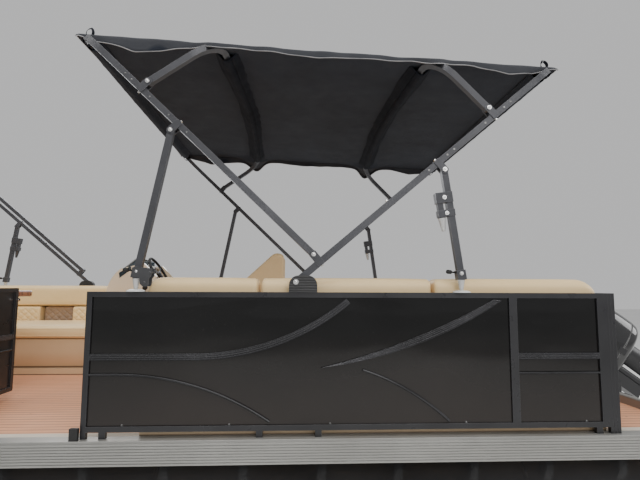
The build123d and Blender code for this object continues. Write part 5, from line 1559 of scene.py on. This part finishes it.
def makeHelm(setup):
    # a black dash panel, bezels, faces with generic marks and needles, switches
    corners = ((-0.245, 0.625), (0.245, 0.625), (0.245, 0.872), (-0.245, 0.872))
    outline = []
    for (y, height), turn in zip(corners, (180, 270, 0, 90)):
        for k in range(7):
            t = radians(turn + 15 * k)
            outline.append((y - copysign(0.02, y) + 0.02 * cos(t),
                height + (0.02 if height < 0.7 else -0.02) + 0.02 * sin(t)))
    rings = [[dashPoint(setup, y * s, 0.7485 + (h - 0.7485) * s, out)[0] for y, h in outline]
        for s, out in ((1.0, 0.0004), (1.0, 0.003), (0.985, 0.0045))]
    panel = newShell("dashPanel", ringsToShell(rings), "gaugeFace", "hull", smooth=False)
    bezels, faces, needles, marks = [], [], [], []
    for y, height, radius in setup["gauges"]:
        point, slope, normal = dashPoint(setup, y, height, 0.0045)
        side = slope.cross(normal).normalized()
        bezels.append(turned([(0.0, radius), (0.004, radius), (0.0068, radius * 0.96),
            (0.0072, radius * 0.9), (0.005, radius * 0.86), (0.001, radius * 0.86), (0.0, radius * 0.86)],
            point, normal, 36))
        faces.append(turned([(0.0, radius * 0.87), (0.0014, radius * 0.87), (0.0016, 0.0)], point, normal,
            32))
        for k in range(9):
            t = radians(-130 + 260 * k / 8)
            out = slope * cos(t) + side * sin(t)
            across = normal.cross(out)
            marks.append((out, across, point + normal * 0.002 + out * radius * 0.7, radius * 0.11,
                radius * 0.022, normal))
        t = radians(-95 + 40 * (y * 7))
        out = slope * cos(t) + side * sin(t)
        needles.append((out, normal.cross(out), point + normal * 0.0024 + out * radius * 0.28,
            radius * 0.34, radius * 0.03, normal))

    def slivers(table):
        parts = []
        for out, across, centre, long, wide, normal in table:
            base = [centre + out * sx * long + across * sy * wide
                for sx, sy in ((-1, -1), (1, -0.6), (1, 0.6), (-1, 1))]
            parts.append(ringsToShell([base, [p + normal * 0.0007 for p in base]]))
        return joined(parts)
    for name, data, finish in (("gaugeBezels", joined(bezels), "chrome"),
            ("gaugeFaces", joined(faces), "gaugeFace"), ("gaugeMarks", slivers(marks), "domeWhite"),
            ("gaugeNeedles", slivers(needles), "redWood")):
        newShell(name, data, finish, "hull", smooth=name == "gaugeBezels")
    switches = []
    for k in range(6):
        point, slope, normal = dashPoint(setup, -0.1875 + 0.075 * k, 0.665, 0.0045)
        side = slope.cross(normal).normalized()
        base = [point + side * sx * 0.011 + slope * sy * 0.017
            for sx, sy in ((-1, -1), (1, -1), (1, 1), (-1, 1))]
        tipped = [p + normal * (0.003 + 0.005 * (i > 1)) for i, p in enumerate(base)]
        switches.append(ringsToShell([base, tipped]))
    newShell("dashSwitches", joined(switches), "rubberBlack", "hull", smooth=False)
    # side-mounted throttle with a lever
    base = Vector((setup["consoleAft"] + 0.115, setup["inner"] + 0.0006, deckTop + 0.56))
    housing = turned([(0.0, 0.048), (0.012, 0.048), (0.022, 0.041), (0.03, 0.028), (0.034, 0.022),
        (0.0345, 0.0)], base, (0, 1, 0), 36)
    pivot = base + Vector((0, 0.034, 0))
    lean = Vector((-0.28, 0, 0.96)).normalized()
    arm = [ellipseRing(pivot + lean * r + Vector((0, 0.006 * sin(r * 9), 0)), Vector((1, 0, 0)),
        Vector((0, 1, 0)), w, 0.0065, 18, 2.4)
        for r, w in ((-0.012, 0.01), (0.0, 0.014), (0.04, 0.011), (0.09, 0.01), (0.125, 0.011))]
    grip = [ellipseRing(pivot + lean * 0.132 + Vector((0, y, 0)), Vector((1, 0, 0)), Vector((0, 0, 1)), r,
        r * 1.25, 20) for y, r in ((-0.012, 0.006), (-0.008, 0.014), (0.01, 0.017), (0.04, 0.016),
        (0.052, 0.011), (0.055, 0.003))]
    newShell("throttleHousing", joined([housing, ringsToShell(arm)]), "legSatin", "hull")
    newShell("throttleGrip", ringsToShell(grip), "rubberBlack", "hull")
    # a door in the console's side, with a latch
    y = setup["inner"] + 0.0009
    x0, x1, z0, z1 = setup["consoleAft"] + 0.1, setup["consoleFront"] - 0.07, deckTop + 0.09, deckTop + 0.5
    ring = [(x0 + (x1 - x0) * u, z0 + (z1 - z0) * v) for u, v in ((0, 0.05), (0.05, 0), (0.95, 0),
        (1, 0.05), (1, 0.95), (0.95, 1), (0.05, 1), (0, 0.95))]
    middle = ((x0 + x1) / 2, (z0 + z1) / 2)
    door = ringsToShell([[(middle[0] + (x - middle[0]) * s, y + out, middle[1] + (z - middle[1]) * s)
        for x, z in ring] for s, out in ((1.0, 0.0), (1.0, 0.004), (0.985, 0.0065), (0.9, 0.0065),
        (0.885, 0.005), (0.88, 0.005))])
    newShell("consoleDoor", door, "gelBeige", "hull", smooth=False)
    latch = turned([(0.0, 0.017), (0.004, 0.017), (0.006, 0.014), (0.006, 0.0)],
        (x1 - 0.035, y + 0.005, middle[1]), (0, 1, 0), 28)
    newShell("consoleLatch", latch, "chrome", "hull")
    # a grey frame round the screen, and its small side panes
    foot = Vector((setup["consoleFront"] - setup["screenFoot"][0], 0,
        deckTop + setup["screenFoot"][1] + 0.006))
    head = Vector((setup["consoleFront"] - setup["screenHead"][0], 0,
        deckTop + setup["screenHead"][1] + 0.001))
    left, right = Vector((0, setup["outer"] + 0.04, 0)), Vector((0, setup["inner"] - 0.04, 0))
    frameRod = layRods("screenFrame",
        [[foot + left, head + left, head + (left + right) / 2, head + right, foot + right]], 0.0058,
        "legGrey", "hull")
    panes = []
    crestLine = deckTop + 0.872
    for end in (left, right):
        tri = [foot + end + Vector((-0.012, 0, 0.012)), head + end + Vector((0.002, 0, -0.008)),
            Vector((head.x + 0.002, 0, crestLine + 0.006)) + end]
        panes.append(ringsToShell([[p + Vector((0, -0.002, 0)) for p in tri],
            [p + Vector((0, 0.002, 0)) for p in tri]]))
    # a tinted pane in the console's inner side
    pane = [Vector((x, setup["inner"] + 0.0006, deckTop + h))
        for x, h in ((0.838, 0.812), (0.742, 0.872), (0.736, 0.842), (0.832, 0.768))]
    panes.append(ringsToShell([pane, [p + Vector((0, 0.002, 0)) for p in pane]]))
    newShell("screenSides", joined(panes), "smokedGlass", "hull", smooth=False)


def makeWheel(setup):
    a = radians(setup["wheelAngle"])
    axis = Vector((cos(a), 0, sin(a)))
    centre = Vector((setup["consoleAft"] + setup["wheel"][0], setup["y"],
        deckTop + setup["wheel"][1])) + axis * setup["reach"]
    up, side = Vector((sin(a), 0, -cos(a))), Vector((0, 1, 0))
    rings = []
    for t in around(96):
        out = up * cos(t) + side * sin(t)
        grip = 1 - 0.05 * (sin(t * 24) > 0.6)  # finger rests
        rings.append(ellipseRing(centre + out * setup["rimRadius"], out, axis, setup["rim"] * 0.96 * grip,
            setup["rim"] * grip, 16))
    rim = newShell("wheelRim", ringsToShell(rings, loop=True), "rubberBlack", "wheel_body")
    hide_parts("steering_wheel")
    parts = []
    for turn in (60, 180, 300):
        t = radians(turn)
        out = up * cos(t) + side * sin(t)
        across = axis.cross(out)
        rows = [(0.018, 0.02, 0.004, 0.002), (0.06, 0.016, 0.0035, 0.0), (0.12, 0.013, 0.0032, -0.001),
            (0.168, 0.018, 0.0042, 0.0)]
        parts.append(ringsToShell([ellipseRing(centre + out * r + axis * lift, across, axis, w, h, 20, 2.6)
            for r, w, h, lift in smoothRows(rows, 5)]))
    spokes = newShell("wheelSpokes", joined(parts), "legSatin", "wheel_body")
    hub = turned([(-0.015, 0.012), (-0.015, 0.033), (-0.006, 0.0355), (0.006, 0.0355), (0.012, 0.031),
        (0.0145, 0.02), (0.015, 0.0)], centre, axis, 36)
    cap = newShell("wheelHub", hub, "gaugeFace", "wheel_body")


makeHelm(helmSetup)
makeWheel(helmSetup)
print("helm made")

# helm chair: winged, with welts and sewn channels
chairSetup = {"x": stationX(2.31), "wingThick": 0.073, "wing": [(-0.172, 0.473), (0.222, 0.473),
    (0.222, 0.69), (0.183, 0.738), (-0.097, 0.996), (-0.176, 0.982)],
    "back": [(-0.16, 0.47), (-0.032, 0.47), (-0.086, 0.955), (-0.118, 0.998), (-0.17, 0.985)]}


def roundedOutline(points, radius, count=7):
    # a closed outline with its corners rounded and its sides finely divided
    found = []
    size = len(points)
    for i in range(size):
        before, here, after = (np.array(points[j % size], float) for j in (i - 1, i, i + 1))
        a, b = (before - here) / np.linalg.norm(before - here), (after - here) / np.linalg.norm(after - here)
        reach = min(radius, np.linalg.norm(before - here) * 0.45, np.linalg.norm(after - here) * 0.45)
        start, end = here + a * reach, here + b * reach
        for k in range(count + 1):
            t = k / count
            found.append(tuple((1 - t) ** 2 * start + 2 * t * (1 - t) * here + t * t * end))
        following = np.array(points[(i + 1) % size], float)
        c = (here - following) / np.linalg.norm(here - following)
        stop = following + c * min(radius, np.linalg.norm(here - following) * 0.45)
        gap = np.linalg.norm(stop - end)
        pieces = max(2, int(gap / 0.016))
        found += [tuple(end + (stop - end) * k / pieces) for k in range(1, pieces)]
    return found


def pillow(outline, yLow, yHigh, rounding, crown, relief=None):
    # a padded slab of a side outline: rounded edges and crowned faces
    middle = np.mean(np.array(outline), axis=0)
    reach = np.mean([dist(p, middle) for p in outline])
    half, centre = (yHigh - yLow) / 2, (yLow + yHigh) / 2
    levels = [(1.0, 0.0)] + [(1 - rounding / reach * (1 - cos(t)), sin(t))
        for t in np.linspace(0.2, pi / 2, 7)]
    inner = levels[-1][0]
    levels += [(inner * s, 1.0) for s in (0.92, 0.84, 0.74, 0.62, 0.48, 0.32, 0.15)]
    rings = []
    for side in (-1, 1):
        sideRings = []
        for share, height in levels:
            lift = (half - rounding - crown) + rounding * height + crown * (1 - (share / inner) ** 2
                if height >= 1 else 0)
            ring = []
            for p in outline:
                q = middle + (np.array(p) - middle) * share
                y = centre + side * lift
                if relief:
                    y -= side * relief(q[0], q[1]) * height
                ring.append((q[0], y, q[1]))
            sideRings.append(ring)
        rings.append(sideRings)
    return ringsToShell(rings[0][::-1] + rings[1])


def makeChair(setup):
    chairLow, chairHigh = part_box("helm_chair")
    y = (chairLow.y + chairHigh.y) / 2

    def place(table):
        return [(setup["x"] + f, deckTop + h) for f, h in table]
    seatLow = (chairLow.x + 0.03, chairLow.y + 0.078, chairLow.z)
    seatHigh = (chairHigh.x, chairHigh.y - 0.078, 1.2493)
    seat, welt, shape = makePad("chairSeat", seatLow, seatHigh, dict(seatSetup,
        crown=(0.004, 0.003, 0.012)), "beigeVinyl", "chair_body", ([roundLoop(2, 0.6)], 0.0036))
    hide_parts("helm_chair")
    wingLine = roundedOutline(place(setup["wing"]), 0.04)
    anchor, tip = (np.array(p) for p in place(setup["wing"])[3:5])
    slope = (tip - anchor) / np.linalg.norm(tip - anchor)
    normal = np.array((slope[1], -slope[0]))

    def seam(x, z):  # a sewn channel inside the wing's sloping front
        away = abs(abs(float(np.dot(np.array((x, z)) - anchor, normal))) - 0.062)
        level = abs(z - (deckTop + 0.64))
        return 0.0045 * exp(-(away / 0.006) ** 2) + 0.0035 * exp(-(level / 0.006) ** 2) * (away > 0.012)
    for label, low in (("Port", chairHigh.y - setup["wingThick"] - 0.0005),
            ("Starboard", chairLow.y + 0.0005)):
        high = low + setup["wingThick"]
        wing = newShell("chairWing" + label, pillow(wingLine, low, high, 0.024, 0.004, seam), "beigeVinyl",
            "chair_body")
        middle = np.mean(np.array(wingLine), axis=0)
        inset = [tuple(middle + (np.array(p) - middle) * 0.992) for p in wingLine]
        paths = [[(x, across, z) for x, z in inset] for across in (low + 0.0185, high - 0.0185)]
        layRods("chairWingWelt" + label, paths, 0.0034, "creamVinyl", "chair_body", sides=8,
            loop=True)
    backLine = roundedOutline(place(setup["back"]), 0.035)
    rings = []
    low, high = chairLow.y + setup["wingThick"] + 0.001, chairHigh.y - setup["wingThick"] - 0.001
    for yy in np.linspace(low, high, 40):
        share = abs(yy - y) / ((high - low) / 2)
        ring = []
        for px, pz in backLine:
            dent = sum(0.006 * exp(-((pz - deckTop - height) / 0.007) ** 2) for height in (0.6, 0.71, 0.82))
            front = 1.0 if px > setup["x"] - 0.108 else 0.0
            ring.append((px - front * (dent + 0.01 * share ** 3), yy,
                pz - 0.01 * share ** 4 * (pz > deckTop + 0.9)))
        rings.append(ring)
    back = newShell("chairBack", ringsToShell(rings), "creamVinyl", "chair_body")
    seatStitch = overFace(shape, [(u, 0.0, 1.0) for u in np.linspace(-0.9, 0.9, 30)], 0.0004)
    seamStitches("chairStitches", [seatStitch], "chair_body")


makeChair(chairSetup)
print("chair made")

# table: a rounded board with an edge band and cup holders
tableSetup = {"corner": 0.09, "edge": 0.012,
    "cups": [(-0.25, 0.12), (0.25, 0.12), (-0.25, -0.12), (0.25, -0.12)], "cupRadius": 0.042}


def makeTable(setup):
    low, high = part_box("table_top")
    centre, half = (low + high) / 2, (high - low) / 2
    outline = []
    for sx, sy, start in ((1, 1, 0), (-1, 1, 90), (-1, -1, 180), (1, -1, 270)):
        for k in range(13):
            t = radians(start + 90 * k / 12)
            outline.append((sx * (half.x - setup["corner"]), sy * (half.y - setup["corner"]), cos(t), sin(t)))
    rings = []
    edge, thick = setup["edge"], half.z * 2
    upper = edge * 0.8
    section = [(0.05, 0.0)] + [(edge * (1 - cos(t)), edge * (1 - sin(t))) for t in np.linspace(pi / 2, 0, 6)]
    section.append((0.0, thick - edge * 0.9))
    section += [(upper * (1 - cos(t)), thick - upper * (1 - sin(t))) for t in np.linspace(0.2, pi / 2, 6)]
    for inset, z in section + [(0.02, thick), (0.05, thick - 0.0002)]:
        rings.append([(centre.x + cx + (setup["corner"] - inset) * c,
            centre.y + cy + (setup["corner"] - inset) * s, low.z + z) for cx, cy, c, s in outline])
    board = newShell("tableBoard", ringsToShell(rings), "redWood", "hull")
    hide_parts("table_top")
    cups = [
        turned([(-0.0006, 0.0), (-0.0004, setup["cupRadius"] * 0.82), (0.001, setup["cupRadius"] * 0.86),
        (0.0022, setup["cupRadius"] * 0.95), (0.001, setup["cupRadius"]), (-0.0008, setup["cupRadius"])],
        (centre.x + x, centre.y + y, high.z), (0, 0, 1), 36) for x, y in setup["cups"]]
    newShell("tableCups", joined(cups), "chrome", "hull")
    collar = turned([(-0.055, 0.031), (-0.055, 0.04), (-0.02, 0.044), (-0.008, 0.075), (-0.002, 0.08),
        (-0.0003, 0.08), (-0.0003, 0.031)], (centre.x, centre.y, low.z), (0, 0, 1), 40)
    newShell("tableCollar", collar, "chrome", "hull")


makeTable(tableSetup)
print("table made")

# gate latch, and rivets beside the jaws
latchSetup = {"z": 1.392, "inner": 0.4243, "size": (0.02, 0.0018, 0.024), "knobIn": 0.02}


def makeSmallMetal(setup):
    low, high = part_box("port_gate")
    x, (sx, sy, sz) = (low.x + high.x) / 2, setup["size"]
    block = [[(x + dx * s, setup["inner"] - out, setup["z"] + dz * s) for dx, dz in ((-sx, -sz), (sx, -sz),
        (sx, sz), (-sx, sz))] for out, s in ((0.0, 1.0), (sy, 1.0), (sy + 0.0008, 0.9))]
    knob = turned([(0.0, 0.006), (0.008, 0.006), (0.009, 0.01), (0.016, 0.011), (0.019, 0.008),
        (0.019, 0.0)], (low.x, setup["inner"] + setup["knobIn"], setup["z"] - 0.004), (-1, 0, 0), 24)
    newShell("gateLatch", joined([ringsToShell(block), knob]), "chrome", "port_gate_body",
        smooth=False)
    rivets = {"hull": [], "second_bow_body": []}
    for start, angle, body, places in ((mainStart, mainAngle, "hull", (0.86, 0.985, 1.03, 1.245, 1.375,
            1.42)), (secondHinge, secondAngle, "second_bow_body", (0.86, 0.985, 1.115, 1.24, 1.285))):
        for distance in places:
            px, pz = alongMember(start, angle, distance)
            for side in (1, -1):
                rivets[body].append(((px, side * (hoopY + 0.0162), pz), (0, side, 0)))
    for body, places in rivets.items():
        placeBolts("tubeRivets" + ("Hull" if body == "hull" else "Second"), places, body, "darkNut", 0.0048,
            0.0036, 0.0016, 12)


makeSmallMetal(latchSetup)
print("small metal made")


# outboard motor: cowl, leg and propeller as smooth castings
tiltAngle = radians(55)
legUp, legForward = Vector((sin(tiltAngle), 0, cos(tiltAngle))), Vector((cos(tiltAngle), 0, -sin(tiltAngle)))
tiltPin = Vector((-3.027, 0, 0.77))
motorSetup = {
    "pan": [(-0.215, 0.069, 0.14, 0.205), (-0.214, 0.075, 0.16, 0.228), (-0.212, 0.1, 0.18, 0.25),
        (-0.21, 0.15, 0.1868, 0.258)],
    "top": [(-0.21, 0.1525, 0.1868, 0.258), (-0.212, 0.24, 0.1855, 0.256), (-0.214, 0.33, 0.1795, 0.249),
        (-0.219, 0.395, 0.166, 0.232), (-0.226, 0.445, 0.14, 0.2), (-0.231, 0.472, 0.106, 0.15),
        (-0.234, 0.4865, 0.06, 0.088), (-0.235, 0.4895, 0.006, 0.01)],
    "leg": [(-0.263, 0.049, 0.055, 0.083), (-0.264, 0.02, 0.05, 0.08), (-0.264, -0.1, 0.043, 0.081),
        (-0.263, -0.26, 0.041, 0.083), (-0.257, -0.42, 0.031, 0.08), (-0.255, -0.546, 0.023, 0.077)],
    "fin": [(-0.215, -0.552, 0.019, 0.075), (-0.212, -0.64, 0.0165, 0.08), (-0.207, -0.72, 0.0155, 0.085),
        (-0.205, -0.758, 0.0155, 0.086)],
    "skeg": [(-0.2, -0.765, 0.0085, 0.082), (-0.208, -0.83, 0.007, 0.07), (-0.228, -0.905, 0.0055, 0.052),
        (-0.243, -0.944, 0.003, 0.036)],
    "case": [(-0.062, 0.004), (-0.064, 0.014), (-0.078, 0.028), (-0.1, 0.041), (-0.13, 0.0505),
        (-0.18, 0.0512), (-0.25, 0.05), (-0.3, 0.0485), (-0.3095, 0.047)],
    "shaft": -0.76, "plate": (-0.25, -0.548, 0.165, 0.1, 0.01)}


def motorPoint(f, h, side=0.0):
    return tiltPin + legForward * f + legUp * h + Vector((0, side, 0))


def castForm(rows, power, sides=48, count=5, tail=1.0, nose=1.0):
    # sections square to the leg; tail and nose narrow their ends
    rings = []
    for f, h, a, b in smoothRows(rows, count):
        ring = []
        for t in around(sides):
            y, d = eased(cos(t), 2 / power) * a, eased(sin(t), 2 / power) * b
            y *= 1 - (1 - (tail if d < 0 else nose)) * (d / b) ** 2
            ring.append(motorPoint(f + d, h, y))
        rings.append(ring)
    return ringsToShell(rings)


def makeMotor(setup):
    engine = "engine_body"
    top = newShell("cowlTop", castForm(setup["top"], 2.9, 64, 6, 0.93), "motorGloss", engine)
    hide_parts("motor_cowl")
    pan = newShell("cowlPan", castForm(setup["pan"], 2.9, 64, 6, 0.93), "motorGloss", engine)
    band = newShell("cowlSeal", castForm([(-0.21, 0.149, 0.1838, 0.2545), (-0.21, 0.1535, 0.1838, 0.2545)],
        2.9, 64, 1, 0.93), "rubberBlack", engine)
    # air slots high on the cowl's after face, and two latches over the seal
    parts = []
    for k in range(7):
        h = 0.3 + 0.017 * k
        reach = 0.2505 - 0.0006 * (h - 0.3) * 1000 * 0.12
        for side in (-1, 1):
            ring = [(0.03 * cos(a), 0.0042 * sin(a)) for a in np.linspace(0, 2 * pi, 14, endpoint=False)]
            parts.append(ringsToShell([[motorPoint(-0.212 - reach * 0.93 - out, h + dz, side * 0.052 + dy)
                for dy, dz in ring] for out in (-0.012, 0.0045)]))
    vents = newShell("cowlVents", joined(parts), "rubberBlack", engine, smooth=False)
    latches = []
    for side in (-1, 1):
        rings = [[motorPoint(-0.21 + dx, 0.15 + dz, side * out) for dx, dz in ((-0.022, -0.03),
            (0.022, -0.03), (0.018, 0.028), (-0.018, 0.028))] for out in (0.176, 0.1885)]
        latches.append(ringsToShell(rings))
    latch = newShell("cowlLatches", joined(latches), "legSatin", engine, smooth=False)
    # leg with plates, gear case, fin and skeg
    legParts = [castForm(setup["leg"], 2.0, 40, 5, 0.75, 0.45), castForm(setup["fin"], 2.1, 36, 4, 0.55),
        castForm(setup["skeg"], 2.0, 28, 4, 0.5)]
    legParts.append(turned([(f, r) for f, r in reversed(setup["case"])], motorPoint(0, setup["shaft"]),
        legForward, 40))
    f, h, long, wide, thick = setup["plate"]
    plate = []
    for inset, lift in ((0.004, 0.0), (0.0, -0.002), (0.0, -thick + 0.002), (0.004, -thick)):
        ring = []
        for t in around(40):
            x, y = eased(sin(t), 0.75) * (long - inset), eased(cos(t), 0.75) * (wide - inset)
            ring.append(motorPoint(f + x, h + lift, y * (1 if x < 0.02 else 1 - 0.35 * (x / long) ** 2)))
        plate.append(ring)
    legParts.append(ringsToShell(plate))
    for radius, start, end in ((0.0595, 0.0503, 0.0675), (0.0515, -0.2605, -0.2406)):  # the two yokes
        legParts.append(turned([(0.0, radius - 0.003), (0.002, radius), (end - start - 0.002, radius),
            (end - start, radius - 0.003)], motorPoint(-0.13, start), legUp, 40))
    leg = newShell("motorCasting", joined(legParts), "legSatin", engine)
    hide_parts("motor_leg")
    seams = []
    for h in (-0.262, -0.43):  # the joints between the leg's castings
        a, b = (0.0418, 0.0848) if h > -0.3 else (0.0312, 0.0806)
        ring = []
        for t in around(40):
            y, d = eased(cos(t), 2 / 2.4) * a, eased(sin(t), 2 / 2.4) * b
            y *= 1 - 0.25 * (-d / b) ** 2 if d < 0 else 1
            ring.append(motorPoint((-0.262 if h > -0.3 else -0.257) + d, h, y))
        seams.append(ring)
    layRods("motorJoints", seams, 0.0016, "rubberBlack", engine, sides=6, loop=True)
    bolts = []
    for f, h in ((-0.3, -0.235), (-0.225, -0.235), (-0.295, -0.4), (-0.222, -0.4), (-0.255, -0.1)):
        for side in (-1, 1):
            bolts.append((tuple(motorPoint(f, h, side * (0.0385 if h > -0.3 else 0.03))), (0, side, 0)))
    placeBolts("motorBolts", bolts, engine, "darkNut", 0.009, 0.0065, 0.006)
    # propeller
    front = setup["case"][-1][0] - 0.0006
    hub = turned([(0.0, 0.03), (0.0, 0.0452), (-0.01, 0.0455), (-0.08, 0.0452), (-0.0945, 0.043), (-0.0945,
        0.034), (-0.06, 0.032), (-0.06, 0.018), (-0.092, 0.017), (-0.0945, 0.012), (-0.0945, 0.0)],
        motorPoint(front, setup["shaft"]), legForward, 44)
    side0 = Vector((0, 1, 0))
    blades = []
    for number in range(3):
        t = radians(90 + 120 * number)
        out = side0 * cos(t) + legUp * sin(t)
        rows = []
        for r, lead, trail, pitch in ((0.036, 0.032, -0.034, 46), (0.06, 0.047, -0.046, 43),
                (0.085, 0.057, -0.056, 40), (0.11, 0.061, -0.063, 38), (0.135, 0.056, -0.063, 36),
                (0.158, 0.042, -0.055, 34), (0.172, 0.021, -0.037, 33), (0.1765, 0.006, -0.02, 33)):
            p = radians(pitch)
            chord = out.cross(legForward).normalized() * cos(p) + legForward * sin(p)
            flat = out.cross(chord).normalized()
            centre = motorPoint(front - 0.0475, setup["shaft"]) + out * r
            thick = 0.0045 * (1 - r / 0.19) + 0.0009
            middle, half = (lead + trail) / 2, (lead - trail) / 2
            ring = []
            for a in around(20):
                u = cos(a)
                camber = 0.006 * (1 - u * u) * half / 0.06
                ring.append(centre + chord * (middle + half * u)
                    + flat * (thick * sin(a) + camber * 0.5 - 0.0015))
            rows.append(ring)
        blades.append(ringsToShell(rows))
    prop = newShell("propellerCasting", joined([hub] + blades), "legSatin", "propeller_body")
    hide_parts("propeller")
    nut = [(tuple(motorPoint(front - 0.0947, setup["shaft"])), tuple(-legForward))]
    placeBolts("propellerNut", nut, "propeller_body", "brightBolt", 0.016, 0.012, 0.01)
    # clamp screws on the bracket
    screws = []
    for side in (-1, 1):
        base = Vector((-2.9215, side * 0.095, 0.64))
        screws.append(turned([(0.0, 0.017), (0.004, 0.017), (0.004, 0.009), (0.04, 0.009), (0.04, 0.02),
            (0.048, 0.022), (0.052, 0.012), (0.052, 0.0)], base, (1, 0, 0), 24))
    newShell("clampScrews", joined(screws), "darkNut", "hull")


makeMotor(motorSetup)
print("motor made")


print("scene finished")
